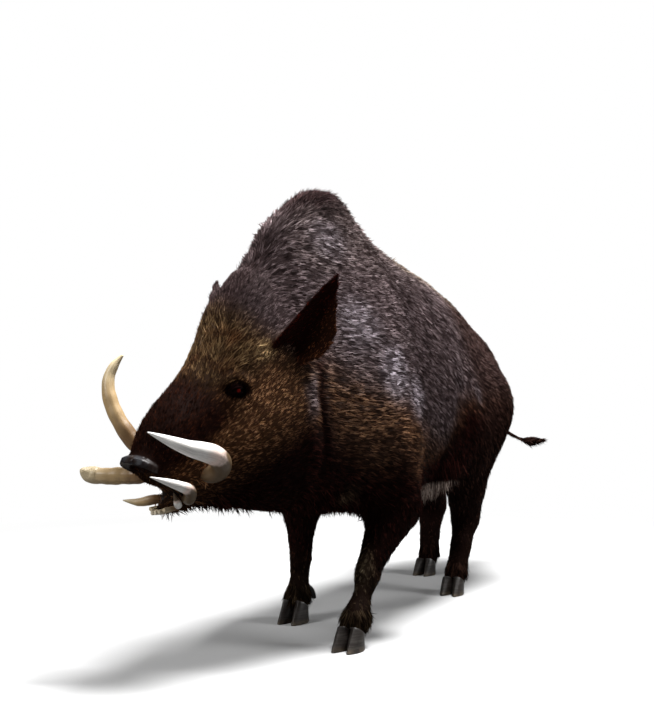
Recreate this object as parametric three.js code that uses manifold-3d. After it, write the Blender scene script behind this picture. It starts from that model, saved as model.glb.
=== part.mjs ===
// Wild boar, life size, standing still in mid-step with its head lowered and turned to its right.
//
// Units are millimetres. The animal is designed from the point on the ground under its withers:
// +X towards the front, +Y to the animal's left, +Z up. At the end it is moved so that the origin
// lies at the centre of its bounding box, on the ground.
//
// The flesh is one smooth body: a blended union of named masses (ellipsoids and tapered limbs). It is
// wrapped in a net of faces, finer on the head and feet than on the trunk, and parted by thin cuts into
// the head, neck, trunk and legs. Hooves, tusks, teeth, eyes, ears and tail are solids of their own.
import * as THREE from 'three';
import { mergeVertices } from 'three/addons/utils/BufferGeometryUtils.js';
import Module from 'manifold-3d';

const wasm = await Module();
wasm.setup();

// Driving dimensions
const gap = 0.4; // clearance between neighbouring pieces
const headAt = [371, -80, 550]; // the skull's centre, between the eyes
const headYaw = -20; // degrees, the head turned to the animal's right
const headPitch = 36; // degrees, the nose lowered

const degrees = THREE.MathUtils.degToRad;
const lerp = THREE.MathUtils.lerp;
const clamp = THREE.MathUtils.clamp;
const v3 = (p) => new THREE.Vector3(...p);
const sides = { left: 1, right: -1 };
const mirrored = ([x, y, z], side) => [x, y * side, z];

// ---------------------------------------------------------------- fields: distance to a smooth form

// An ellipsoid with its own turn in degrees: pitch lowers its front end, yaw turns it to the left.
function ellipsoid({ at, radii, pitch = 0, yaw = 0, roll = 0 }) {
  const centre = v3(at);
  const [a, b, c] = radii;
  const turn = new THREE.Quaternion()
    .setFromEuler(new THREE.Euler(degrees(roll), degrees(pitch), degrees(yaw), 'ZYX'))
    .invert();
  const q = new THREE.Vector3();
  return (p) => {
    q.copy(p).sub(centre).applyQuaternion(turn);
    const near = Math.hypot(q.x / a, q.y / b, q.z / c);
    const steep = Math.hypot(q.x / a ** 2, q.y / b ** 2, q.z / c ** 2);
    return steep < 1e-9 ? -Math.min(a, b, c) : (near * (near - 1)) / steep;
  };
}

// A limb that tapers from a ball of one radius to a ball of another.
function limb({ from, to, thick, thin }) {
  const start = v3(from);
  const along = v3(to).sub(start);
  const q = new THREE.Vector3();
  return (p) => {
    const t = clamp(q.copy(p).sub(start).dot(along) / along.lengthSq(), 0, 1);
    return q.addScaledVector(along, -t).length() - lerp(thick, thin, t);
  };
}

// Two surfaces run into one another over a band of the given width.
function soften(a, b, width) {
  const h = Math.max(width - Math.abs(a - b), 0) / width;
  return Math.min(a, b) - (h * h * width) / 4;
}

const union = (parts, width) => (p) => parts.reduce((d, part) => soften(d, part(p), width), 1e4);
const blend = (a, b, width) => (p) => soften(a(p), b(p), width);

// A chain of limbs through joints, each a place and a radius.
function chain(joints, width = 22) {
  return union(
    joints
      .slice(1)
      .map(([at, radius], i) => limb({ from: joints[i][0], to: at, thick: joints[i][1], thin: radius })),
    width,
  );
}

// ---------------------------------------------------------------- the trunk and neck

// Cross-sections of the trunk from the chest to the root of the tail: x, the bottom, the height at which
// it is widest, the top, half its width there, and how round its upper half is (1 a tent, 2 an ellipse).
const sections = [
  [-1150, 560, 590, 620, 20, 2],
  [-1130, 500, 570, 685, 78, 1.8],
  [-1070, 430, 520, 738, 128, 1.45],
  [-980, 380, 480, 764, 150, 1.08],
  [-850, 335, 465, 818, 172, 1.05],
  [-700, 305, 470, 857, 186, 1.1],
  [-560, 290, 485, 888, 197, 1.2],
  [-400, 285, 495, 914, 202, 1.22],
  [-260, 282, 500, 940, 202, 1.18],
  [-170, 286, 505, 972, 200, 1.18],
  [-85, 294, 510, 1012, 194, 1.2],
  [0, 306, 510, 1043, 178, 1.28],
  [110, 328, 520, 1008, 130, 1.5],
  [200, 370, 540, 928, 75, 1.6],
];

function loft(rows) {
  const places = rows.map(([x]) => x);
  const shape = new THREE.CubicInterpolant(
    new Float32Array(places),
    new Float32Array(rows.flatMap((row) => row.slice(1))),
    5,
    new Float32Array(5),
  );
  const [first, last] = [places[0], places.at(-1)];
  return (p) => {
    const [bottom, widest, top, half, round] = shape.evaluate(clamp(p.x, first, last));
    const above = p.z > widest;
    const reach = above ? top - widest : widest - bottom;
    const power = above ? round : 2.2;
    const rise = Math.abs(p.z - widest) / reach;
    const near = Math.sqrt((p.y / half) ** 2 + rise ** power);
    const steep = Math.hypot(p.y / half ** 2, ((power / 2) * rise ** (power - 1)) / reach);
    const across = (near * (near - 1)) / Math.max(steep, 1e-3);
    return Math.max(across, first - p.x, p.x - last);
  };
}

const shoulders = [
  { at: [-30, 95, 570], radii: [165, 102, 225], pitch: -8 },
  { at: [-50, -95, 570], radii: [165, 102, 225], pitch: 8 },
];
const neckMasses = [
  { at: [185, -20, 600], radii: [205, 136, 245], yaw: -8 }, // neck
  { at: [60, 0, 457], radii: [190, 134, 145] }, // brisket
  { at: [235, -45, 458], radii: [195, 120, 138], yaw: -12 }, // throat
];
const crestLine = [
  [[20, 0, 978], 50],
  [[165, -16, 902], 52],
  [[312, -62, 738], 51],
];

const trunk = blend(
  union([loft(sections), ...shoulders.map(ellipsoid)], 60),
  union([...neckMasses.map(ellipsoid), chain(crestLine, 40)], 70),
  80,
);

// ---------------------------------------------------------------- the head, in its own frame
// +X along the muzzle, +Z out of the forehead, origin at headAt.

const headFrame = new THREE.Matrix4().compose(
  v3(headAt),
  new THREE.Quaternion().setFromEuler(
    new THREE.Euler(0, degrees(headPitch), degrees(headYaw), 'ZYX'),
  ),
  new THREE.Vector3(1, 1, 1),
);
const intoHead = headFrame.clone().invert();
const fromHead = (p) => v3(p).applyMatrix4(headFrame);
const inHead = (field) => {
  const q = new THREE.Vector3();
  return (p) => field(q.copy(p).applyMatrix4(intoHead));
};
const onBothSides = (mass) =>
  Object.values(sides).map((side) => ({
    ...mass,
    at: mirrored(mass.at, side),
    yaw: (mass.yaw ?? 0) * side,
    roll: (mass.roll ?? 0) * side,
  }));

const skull = union(
  [
    { at: [-100, 0, 0], radii: [140, 80, 100] }, // braincase
    { at: [-70, 0, 50], radii: [110, 58, 60] }, // forehead
    { at: [70, 0, 36], radii: [120, 48, 60] }, // bridge of the nose
    ...onBothSides({ at: [-75, 54, -80], radii: [118, 62, 92] }), // cheeks
    ...onBothSides({ at: [105, 34, 5], radii: [75, 30, 48] }), // ridges over the tusks
  ].map(ellipsoid),
  45,
);
const muzzle = union(
  [
    limb({ from: [40, 0, 0], to: [205, 0, 0], thick: 62, thin: 44 }),
    ...onBothSides({ at: [135, 36, -42], radii: [70, 27, 34] }).map(ellipsoid), // upper lips
  ],
  30,
);
const jaw = union(
  [
    limb({ from: [-60, 0, -124], to: [110, 0, -118], thick: 82, thin: 43 }),
    limb({ from: [110, 0, -108], to: [234, 0, -99], thick: 38, thin: 20 }), // chin
  ],
  30,
);
const head = blend(skull, muzzle, 50);

// ---------------------------------------------------------------- legs

// Joints from the root down to the coronet, each a place and a radius.
const legJoints = {
  foreleg_left: [
    [[-70, 135, 440], 95],
    [[-85, 155, 300], 62], // elbow
    [[30, 133, 158], 30], // knee
    [[62, 130, 100], 22],
    [[86, 129, 68], 30], // fetlock
    [[103, 129, 44], 28],
  ],
  foreleg_right: [
    [[-100, -130, 440], 90],
    [[-160, -128, 290], 50],
    [[-158, -128, 158], 28],
    [[-150, -128, 100], 21],
    [[-146, -128, 68], 29],
    [[-127, -128, 44], 28],
  ],
  hindleg_left: [
    [[-860, 92, 520], 122], // hip
    [[-744, 106, 370], 80], // stifle
    [[-744, 100, 285], 57],
    [[-768, 97, 208], 41], // hock
    [[-712, 98, 120], 29],
    [[-690, 96, 66], 27],
    [[-674, 96, 42], 26],
  ],
  hindleg_right: [
    [[-880, -92, 520], 122],
    [[-862, -108, 360], 82],
    [[-966, -102, 275], 60],
    [[-1024, -99, 210], 43],
    [[-990, -97, 120], 30],
    [[-980, -95, 66], 27],
    [[-966, -95, 42], 26],
  ],
};
const legs = Object.fromEntries(
  Object.entries(legJoints).map(([name, joints]) => [name, chain(joints)]),
);

const forequarters = union([trunk, legs.foreleg_left, legs.foreleg_right], 60);
const body = union([forequarters, legs.hindleg_left, legs.hindleg_right], 60);
const flesh = blend(body, inHead(blend(head, jaw, 25)), 70);

// ---------------------------------------------------------------- from field to solid

// The corners of a unit cell as bit masks (1 for +x, 2 for +y, 4 for +z), round each of its six faces.
const cellFaces = [0, 1, 2].flatMap((axis) => {
  const [u, v] = [1 << (axis + 1) % 3, 1 << (axis + 2) % 3];
  return [0, 1 << axis].map((base) => [base, base | u, base | u | v, base | v]);
});
const cellEdges = [0, 1, 2].flatMap((axis) => {
  const corners = [0, 1, 2, 3, 4, 5, 6, 7].filter((c) => !(c & (1 << axis)));
  return corners.map((c) => [c, c | (1 << axis)]);
});
const edgeId = (a, b) => Math.min(a, b) * 8 + Math.max(a, b);

// Groups a cell's crossed edges into the separate sheets of surface that pass through it.
function sheets(inside) {
  const sheetOf = new Map();
  cellEdges.forEach(([a, b]) => {
    if (inside[a] !== inside[b]) sheetOf.set(edgeId(a, b), edgeId(a, b));
  });
  const root = (id) => (sheetOf.get(id) === id ? id : root(sheetOf.get(id)));
  const join = (a, b) => sheetOf.set(root(a), root(b));
  cellFaces.forEach((face) => {
    const edges = face.map((c, n) => edgeId(c, face[(n + 1) % 4]));
    const crossed = edges.filter((id) => sheetOf.has(id));
    if (crossed.length === 2) join(...crossed);
    if (crossed.length === 4) {
      face.forEach((c, n) => {
        if (inside[c]) join(edges[(n + 3) % 4], edges[n]);
      });
    }
  });
  const groups = new Map();
  sheetOf.forEach((_, id) => {
    groups.set(root(id), [...(groups.get(root(id)) ?? []), id]);
  });
  return [...groups.values()];
}

// Wraps the zero surface of a field in a net: one vertex for each sheet of surface in a cell, moved
// onto the surface, and one quad round each grid edge that the surface crosses.
function wrap(field, low, high, cell) {
  const [nx, ny, nz] = low.map((v, k) => Math.ceil((high[k] - v) / cell[k]) + 1);
  const corner = (i, j, k) => (k * ny + j) * nx + i;
  const offset = [1, nx, nx * ny];
  const stepTo = (mask) => offset.reduce((sum, step, axis) => sum + (mask & (1 << axis) ? step : 0), 0);
  const values = new Float32Array(nx * ny * nz);
  const p = new THREE.Vector3();
  for (let k = 0; k < nz; k += 1) {
    for (let j = 0; j < ny; j += 1) {
      for (let i = 0; i < nx; i += 1) {
        const edge = !i || !j || !k || i === nx - 1 || j === ny - 1 || k === nz - 1;
        const d = field(p.set(low[0] + i * cell[0], low[1] + j * cell[1], low[2] + k * cell[2]));
        values[corner(i, j, k)] = edge ? Math.max(d, 0.5) : d || 1e-3;
      }
    }
  }
  const positions = [];
  const vertexOf = new Map();
  const step = Math.min(...cell) / 8;
  const slope = new THREE.Vector3();
  const probe = new THREE.Vector3();
  const ontoSurface = (q) => {
    for (let turn = 0; turn < 3; turn += 1) {
      const d = field(q);
      if (Math.abs(d) > Math.min(...cell)) return;
      slope.set(0, 0, 0);
      ['x', 'y', 'z'].forEach((axis) => {
        probe.copy(q)[axis] += step;
        slope[axis] = (field(probe) - d) / step;
      });
      q.addScaledVector(slope, -d / Math.max(slope.lengthSq(), 0.3));
    }
  };
  const bit = (mask, axis) => (mask >> axis) & 1;
  for (let k = 0; k < nz - 1; k += 1) {
    for (let j = 0; j < ny - 1; j += 1) {
      for (let i = 0; i < nx - 1; i += 1) {
        const here = corner(i, j, k);
        const at = [0, 1, 2, 3, 4, 5, 6, 7].map((mask) => values[here + stepTo(mask)]);
        const inside = at.map((value) => value < 0);
        if (inside.every((state) => state === inside[0])) continue;
        sheets(inside).forEach((ids) => {
          const q = new THREE.Vector3();
          ids.forEach((id) => {
            const [a, b] = [id >> 3, id & 7];
            const t = at[a] / (at[a] - at[b]);
            q.x += (i + lerp(bit(a, 0), bit(b, 0), t)) / ids.length;
            q.y += (j + lerp(bit(a, 1), bit(b, 1), t)) / ids.length;
            q.z += (k + lerp(bit(a, 2), bit(b, 2), t)) / ids.length;
          });
          q.set(low[0] + q.x * cell[0], low[1] + q.y * cell[1], low[2] + q.z * cell[2]);
          ontoSurface(q);
          ids.forEach((id) => vertexOf.set(here * 64 + id, positions.length / 3));
          positions.push(q.x, q.y, q.z);
        });
      }
    }
  }
  const faces = [];
  const place = (v) => new THREE.Vector3().fromArray(positions, 3 * v);
  for (let k = 0; k < nz - 1; k += 1) {
    for (let j = 0; j < ny - 1; j += 1) {
      for (let i = 0; i < nx - 1; i += 1) {
        const here = corner(i, j, k);
        const inside = values[here] < 0;
        for (let axis = 0; axis < 3; axis += 1) {
          const inner = [i, j, k].every((n, other) => other === axis || n > 0);
          if (inner && inside !== values[here + offset[axis]] < 0) {
            const [u, v] = [1 << (axis + 1) % 3, 1 << (axis + 2) % 3];
            const ring = [u | v, v, 0, u].map((mask) =>
              vertexOf.get((here - stepTo(mask)) * 64 + edgeId(mask, mask | (1 << axis))),
            );
            const [s, t, w, x] = inside ? ring : ring.reverse();
            const short = place(s).distanceTo(place(w)) < place(t).distanceTo(place(x));
            faces.push(...(short ? [s, t, w, s, w, x] : [t, w, x, t, x, s]));
          }
        }
      }
    }
  }
  return new THREE.BufferGeometry()
    .setAttribute('position', new THREE.Float32BufferAttribute(positions, 3))
    .setIndex(faces);
}

function solidOf(geometry) {
  const seams = Boolean(geometry.attributes.uv);
  const bare = geometry.clone();
  ['normal', 'uv'].forEach((name) => bare.deleteAttribute(name));
  const merged = seams ? mergeVertices(bare, 1e-3) : bare;
  return new wasm.Manifold(
    new wasm.Mesh({
      numProp: 3,
      vertProperties: new Float32Array(merged.attributes.position.array),
      triVerts: new Uint32Array(merged.index.array),
    }),
  );
}

function geometryOf(solid) {
  const { vertProperties, triVerts } = solid.getMesh();
  return new THREE.BufferGeometry()
    .setAttribute('position', new THREE.BufferAttribute(vertProperties, 3))
    .setIndex(new THREE.BufferAttribute(triVerts, 1));
}

// The solid's largest piece, without any crumbs that a cut leaves.
const whole = (solid) =>
  solid.decompose().reduce((best, piece) => (piece.volume() > best.volume() ? piece : best));

// Everything on the side of a plane that its normal points to, from half a gap off the plane.
function ahead(point, normal, reach = 2600) {
  const direction = v3(normal).normalize();
  const slab = new THREE.BoxGeometry(reach, reach, reach);
  slab.translate(0, 0, reach / 2 + gap / 2);
  slab.applyQuaternion(new THREE.Quaternion().setFromUnitVectors(new THREE.Vector3(0, 0, 1), direction));
  return solidOf(slab.translate(...point));
}
const behind = (point, normal) => ahead(point, normal.map((n) => -n));

// ---------------------------------------------------------------- parting the body

const outOfHead = new THREE.Vector3(1, 0, 0).transformDirection(headFrame).toArray();
const nape = { at: fromHead([-150, 0, -30]).toArray(), normal: [outOfHead[0], outOfHead[1], -0.12] };
const withers = { at: [120, 0, 600], normal: [1, 0, 0.25] };
const flank = { at: [-600, 0, 500], normal: [1, 0, 0.1] };
const midline = { at: [0, 0, 0], normal: [0, 1, 0] };
const armpit = { left: [0, 0.46, -1], right: [0, -0.46, -1] }; // normals that point down into each leg
const trunkFloor = 232; // height at which both armpit planes meet on the midline
const mouthLine = { at: [60, 0, -76], reach: 400 }; // the slit of the mouth, in the head's frame

const boar = new THREE.Group();
boar.name = 'boar';
const material = (color, roughness) =>
  new THREE.MeshStandardMaterial({ color, roughness, metalness: 0 });
const coat = material(0x2f2622, 0.6);
const darkSkin = material(0x1d1816, 0.5);
const ivory = material(0xe9e0cd, 0.35);
const oldIvory = material(0xb99f72, 0.45);
const horn = material(0x4a423b, 0.5);
const eyeDark = material(0x120807, 0.1);

const solids = new Map();
function add(name, solid, look) {
  const piece = whole(solid);
  const mesh = new THREE.Mesh(geometryOf(piece), look);
  mesh.name = name;
  boar.add(mesh);
  solids.set(name, piece);
}

// A closed form pushed outwards along its own normals, to cut the room that it needs.
function grown(geometry, by) {
  const bare = geometry.clone();
  ['normal', 'uv'].forEach((name) => bare.deleteAttribute(name));
  const merged = mergeVertices(bare, 1e-3);
  merged.computeVertexNormals();
  const { position, normal } = merged.attributes;
  const p = new THREE.Vector3();
  const n = new THREE.Vector3();
  for (let i = 0; i < position.count; i += 1) {
    p.fromBufferAttribute(position, i).addScaledVector(n.fromBufferAttribute(normal, i), by);
    position.setXYZ(i, p.x, p.y, p.z);
  }
  return solidOf(merged);
}

// ---------------------------------------------------------------- tusks, teeth and tail: bent horns

// A value at t along a list of [t, value] pairs.
function along(pairs, t) {
  const next = pairs.findIndex(([place]) => place >= t);
  if (next <= 0) return pairs.at(next)[1];
  const [a, b] = [pairs[next - 1], pairs[next]];
  return lerp(a[1], b[1], (t - a[0]) / (b[0] - a[0]));
}

// A horn round a curved line: its thickness runs through [t, radius] pairs, and it may be flattened.
function bentHorn({ line, radii, round = 8, rings = 9, flat = 1 }) {
  const curve = new THREE.CatmullRomCurve3(line.map(v3));
  const { normals, binormals } = curve.computeFrenetFrames(rings);
  const form = new THREE.CylinderGeometry(1, 1, 1, round, rings);
  const { position } = form.attributes;
  for (let i = 0; i < position.count; i += 1) {
    const ring = Math.round((position.getY(i) + 0.5) * rings);
    const radius = along(radii, ring / rings);
    const place = curve
      .getPointAt(ring / rings)
      .addScaledVector(binormals[ring], position.getX(i) * radius)
      .addScaledVector(normals[ring], position.getZ(i) * radius * flat);
    position.setXYZ(i, place.x, place.y, place.z);
  }
  return form;
}

const headPoints = (points) => points.map((p) => fromHead(p).toArray());

// Each horn leaves the lips low down, bulges outwards and comes to its tip.
const horns = {
  tusk_left_upper: {
    line: headPoints([
      [126, 48, -62], [137, 82, -70], [127, 115, -55],
      [140, 133, -15], [183, 122, 41], [222, 94, 107],
    ]),
    radii: [[0, 17], [0.16, 19.5], [0.4, 21.5], [0.55, 19], [0.75, 13.5], [0.95, 4.5], [1, 1.2]],
    look: ivory,
  },
  tusk_left_lower: {
    line: headPoints([[182, 28, -94], [196, 52, -90], [196, 74, -66], [218, 80, -32], [254, 68, 18]]),
    radii: [[0, 11], [0.2, 12.5], [0.42, 12], [0.7, 8.5], [0.93, 3], [1, 1]],
    look: ivory,
  },
  tooth_left: {
    line: headPoints([[208, 24, -98], [213, 36, -84], [212, 41, -60]]),
    radii: [[0, 8], [0.4, 7.5], [0.9, 2], [1, 0.8]],
    look: ivory,
    rings: 5,
  },
  tusk_right_upper: {
    line: headPoints([
      [170, -38, 4], [167, -66, 24], [154, -98, 80],
      [126, -123, 130], [94, -128, 158], [58, -114, 174],
    ]),
    radii: [[0, 15], [0.2, 18], [0.45, 16], [0.68, 14], [0.86, 10.5], [0.96, 6], [1, 3]],
    look: oldIvory,
  },
  tusk_right_middle: {
    line: headPoints([
      [184, -34, -34], [207, -74, -27], [236, -118, -8], [250, -146, 4], [262, -150, 26],
    ]),
    radii: [[0, 15], [0.15, 18], [0.7, 17], [0.86, 18], [0.96, 12], [1, 6]],
    look: oldIvory,
  },
  tusk_right_lower: {
    line: headPoints([[200, -30, -92], [215, -44, -84], [231, -66, -79], [248, -92, -62]]),
    radii: [[0, 9], [0.3, 10.5], [0.6, 8.5], [0.92, 3], [1, 1]],
    look: oldIvory,
    rings: 8,
  },
};

const tail = {
  line: [
    [-1118, 0, 668], [-1158, 4, 640], [-1180, 18, 560],
    [-1190, 52, 470], [-1192, 92, 416], [-1194, 128, 400],
  ],
  radii: [[0, 24], [0.25, 17], [0.6, 11], [1, 8]],
  rings: 7,
};
const tailTuft = {
  line: [[-1194, 132, 399], [-1196, 160, 396], [-1200, 200, 400]],
  radii: [[0, 8], [0.3, 13], [0.6, 11], [1, 1.5]],
  rings: 4,
};

// ---------------------------------------------------------------- ears, eyes and the nose

// A leaf-shaped shell, cupped forwards and outwards. Its wide foot starts inside the head, and the lobe
// below hangs further out than the straight upper rim.
const earShape = {
  foot: [-129, 104, 23],
  tip: [-317, 204, 126],
  opening: { left: [0.5, 0.86, 0.08], right: [0.34, -0.86, -0.18] },
  half: [[0, 18], [0.09, 38], [0.28, 55], [0.47, 53], [0.74, 26], [1, 1.5]],
  drop: [[0, 0], [0.09, 4], [0.28, 23], [0.47, 28], [0.74, 12], [1, 0]],
  hang: { left: 1, right: 0.7 }, // how much of that drop each ear has
};
function ear(word) {
  const side = sides[word];
  const base = fromHead(mirrored(earShape.foot, side));
  const axis = fromHead(mirrored(earShape.tip, side)).sub(base);
  const length = axis.length();
  axis.normalize();
  const open = v3(earShape.opening[word]).transformDirection(headFrame);
  open.addScaledVector(axis, -open.dot(axis)).normalize();
  const across = new THREE.Vector3().crossVectors(axis, open);
  const form = new THREE.SphereGeometry(1, 12, 8);
  const { position } = form.attributes;
  for (let i = 0; i < position.count; i += 1) {
    const [x, y, z] = [position.getX(i), position.getY(i), position.getZ(i)];
    const t = 1 - Math.acos(clamp(y, -1, 1)) / Math.PI;
    const ring = Math.hypot(x, z) || 1;
    const curl = lerp(1.35, 0.5, t);
    const turn = (x / ring) * curl;
    const arc = along(earShape.half, t) / Math.sin(curl);
    const thick = lerp(8, 2.5, t) * (z / ring);
    const place = base
      .clone()
      .addScaledVector(axis, t * length)
      .addScaledVector(across, Math.sin(turn) * (arc - thick) + side * along(earShape.drop, t) * earShape.hang[word])
      .addScaledVector(open, arc * 0.75 - Math.cos(turn) * (arc - thick));
    position.setXYZ(i, place.x, place.y, place.z);
  }
  return form;
}

const eyeAt = [-16, 85, 30]; // in the head's frame
const eyeRadius = 13.5;
function eye(side) {
  const place = fromHead(mirrored(eyeAt, side));
  return new THREE.SphereGeometry(eyeRadius, 11, 6).translate(place.x, place.y, place.z);
}

// The snout ends in a rounded disc that faces forwards and down, with two nostrils.
const disc = { at: [218, 0, 10], radii: [13, 46, 45], pitch: 28 };
function inDisc(form) {
  form.rotateY(degrees(disc.pitch)).translate(...disc.at);
  return form.applyMatrix4(headFrame);
}
function snoutDisc() {
  const form = new THREE.SphereGeometry(1, 13, 6).rotateZ(Math.PI / 2);
  const { position } = form.attributes;
  for (let i = 0; i < position.count; i += 1) {
    const [x, y, z] = [position.getX(i), position.getY(i), position.getZ(i)];
    const square = 1 + 0.1 * (1 - x * x);
    const low = z < 0 ? 1 + 0.12 * z : 1;
    position.setXYZ(
      i,
      Math.sign(x) * Math.abs(x) ** 0.6 * disc.radii[0],
      y * square * low * disc.radii[1],
      z * square * disc.radii[2],
    );
  }
  return inDisc(form);
}
function nostril(side) {
  const form = new THREE.SphereGeometry(1, 8, 6).scale(13, 8.5, 11.5);
  return inDisc(form.translate(disc.radii[0], side * 18, 3));
}

// ---------------------------------------------------------------- hooves

// One claw of a cloven hoof: flat below, pointed at the toe, its wall sloping back to a coronet that is
// highest in front. Inner sides are flatter, and the toes part a little.
// Design frame of the foot: +X to the toes, origin on the ground under the pad.
const clawSize = { length: 82, halfWidth: 19.5, front: 56, rear: 32 };
function claw(side) {
  const { length, halfWidth, front, rear } = clawSize;
  const form = new THREE.CylinderGeometry(1, 1, 1, 12, 1);
  const { position } = form.attributes;
  for (let i = 0; i < position.count; i += 1) {
    const level = position.getY(i) + 0.5;
    const [x, y] = [position.getZ(i), position.getX(i)];
    const fore = (x + 1) / 2;
    const narrow = 1 - 0.36 * Math.max(x, 0) ** 1.4;
    const reach = y * side > 0 ? 1 : 0.76;
    position.setXYZ(
      i,
      length * lerp(lerp(-0.4, -0.32, level), lerp(0.6, 0.16, level), fore),
      y * narrow * reach * halfWidth * (1 - 0.14 * level) + side * (2.5 * fore ** 2 - 1.5),
      level * lerp(rear, front, fore),
    );
  }
  return form;
}

// A dewclaw: a small blunt horn behind and above the heel.
function dewclaw(side) {
  return bentHorn({
    line: [[-42, side * 12, 80], [-60, side * 16, 68], [-71, side * 18, 48]],
    radii: [[0, 8], [0.5, 9], [1, 4]],
    rings: 2,
    round: 6,
  });
}

// Where each foot stands, the way its toes point (degrees to the left) and its size.
const feet = {
  fore_left: { at: [122, 130], yaw: -3, size: 1 },
  fore_right: { at: [-116, -124], yaw: -2, size: 1.03 },
  hind_left: { at: [-656, 96], yaw: 2, size: 0.94 },
  hind_right: { at: [-948, -95], yaw: -4, size: 0.94 },
};
function onFoot(form, { at, yaw, size }) {
  return form.scale(size, size, size).rotateZ(degrees(yaw)).translate(at[0], at[1], 0);
}

// ---------------------------------------------------------------- all that is not flesh

const trims = [];
function trim(name, form, look, cuts = []) {
  const solid = cuts.reduce((rest, cut) => rest.subtract(cut), solidOf(form));
  trims.push({ name, solid, room: grown(form, gap), look });
}
Object.entries(horns).forEach(([name, { look, ...shape }]) => trim(name, bentHorn(shape), look));
Object.entries(sides).forEach(([word, side]) => {
  trim(`eye_${word}`, eye(side), eyeDark);
  trim(`ear_${word}`, ear(word), coat);
});
trim('snout_disc', snoutDisc(), darkSkin, Object.values(sides).map((side) => solidOf(nostril(side))));
trim('tail', bentHorn(tail), coat);
trim('tail_tuft', bentHorn(tailTuft), coat);
Object.entries(feet).forEach(([foot, stance]) => {
  Object.entries(sides).forEach(([word, side]) => {
    const toe = claw(side).translate(0, side * 17.2, 0);
    trim(`hoof_${foot}_${word}`, onFoot(toe, stance), horn);
    trim(`dewclaw_${foot}_${word}`, onFoot(dewclaw(side), stance), horn);
  });
});

// The worn lower front teeth: a row of stubs joined at the gum.
const incisors = [-20, -12, -4, 4, 12, 20].map((across, i) => {
  const bend = Math.abs(across) / 20;
  const line = headPoints([
    [224 - 10 * bend, across * 0.9, -101],
    [243 - 12 * bend, across, -91],
    [257 - 14 * bend - 2 * (i % 2), across * 1.1, -83],
  ]);
  return solidOf(bentHorn({ line, radii: [[0, 6], [0.6, 6], [1, 4.4]], rings: 2, round: 5 }));
});

// ---------------------------------------------------------------- the flesh, piece by piece

const neighbours = (names) => trims.filter(({ name }) => names.some((word) => name.startsWith(word)));
const clearOf = (piece, rooms) =>
  rooms.reduce((rest, { room, solid }) => rest.subtract(room).subtract(solid), piece);
const skinOf = (low, high, cell) => solidOf(wrap(flesh, low, high, cell));
const keep = (solid, ...halves) => halves.reduce((rest, half) => rest.intersect(half), solid);
const front = ({ at, normal }) => ahead(at, normal);
const back = ({ at, normal }) => behind(at, normal);

function headSkin() {
  const q = new THREE.Vector3();
  const local = (p) => flesh(q.copy(p).applyMatrix4(headFrame));
  return solidOf(
    wrap(local, [-270, -200, -330], [300, 200, 250], [36, 32, 35]).applyMatrix4(headFrame),
  );
}
const mouthBlock = (by) => {
  const { at, reach } = mouthLine;
  const block = new THREE.BoxGeometry(reach, reach, reach);
  block.translate(at[0] + reach / 2 - by, 0, at[2] - reach / 2 + by);
  return solidOf(block.applyMatrix4(headFrame));
};
const headFlesh = keep(headSkin(), front(nape), front(withers));
const frontTeeth = incisors.reduce((all, tooth) => all.add(tooth));
const headTrims = neighbours(['tusk', 'tooth', 'eye', 'ear', 'snout']);
add('head', clearOf(headFlesh.subtract(mouthBlock(gap / 2)), headTrims), coat);
add('lower_jaw', clearOf(keep(headFlesh, mouthBlock(-gap / 2)), headTrims), coat);
const bareTeeth = clearOf(frontTeeth, neighbours(['tusk', 'tooth']));
add('incisors', bareTeeth.subtract(solids.get('lower_jaw')).subtract(solids.get('head')), oldIvory);

const legCut = (side) => ({ at: [0, 0, trunkFloor], normal: armpit[side] });
const offLegs = [back(legCut('left')), back(legCut('right'))];
add(
  'neck',
  clearOf(
    keep(skinOf([-90, -330, 180], [540, 330, 1120], [60, 56, 56]), back(nape), front(withers)),
    neighbours(['ear']),
  ),
  coat,
);
add(
  'forequarters',
  keep(
    skinOf([-740, -330, 180], [330, 330, 1120], [76, 60, 60]),
    back(withers),
    front(flank),
    ...offLegs,
  ),
  coat,
);
add(
  'hindquarters',
  clearOf(
    keep(skinOf([-1260, -330, 180], [-420, 330, 990], [75, 60, 62]), back(flank), ...offLegs),
    neighbours(['tail']),
  ),
  coat,
);

// Each leg is parted again at the knee or hock.
const kneeOf = { fore_left: 158, fore_right: 158, hind_left: 200, hind_right: 200 };
Object.entries(feet).forEach(([foot, { at }]) => {
  const side = foot.split('_')[1];
  const reach = (low, high) => [
    [at[0] - 260, at[1] - 130, low],
    [at[0] + 160, at[1] + 130, high],
  ];
  const inner = { ...midline, normal: [0, sides[side], 0] };
  const knee = { at: [0, 0, kneeOf[foot]], normal: [0, 0, 1] };
  const leg = skinOf(...reach(kneeOf[foot] - 100, 480), [38, 36, 46]);
  const shank = skinOf(...reach(-8, kneeOf[foot] + 90), [34, 31, 33]);
  const claws = neighbours([`hoof_${foot}`, `dewclaw_${foot}`]);
  add(`${foot}_leg`, keep(leg, front(legCut(side)), front(inner), front(knee)), coat);
  add(`${foot}_shank`, clearOf(keep(shank, front(inner), back(knee)), claws), coat);
});

trims.forEach(({ name, solid, look }) => add(name, solid, look));

// The origin moves to the centre of the bounding box, on the ground.
const box = new THREE.Box3().setFromObject(boar);
const centre = box.getCenter(new THREE.Vector3());
boar.position.set(-centre.x, -centre.y, -box.min.z);

export default boar;
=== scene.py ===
import math

import bpy
import numpy as np
import openvdb as vdb
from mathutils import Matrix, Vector, kdtree


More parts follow.
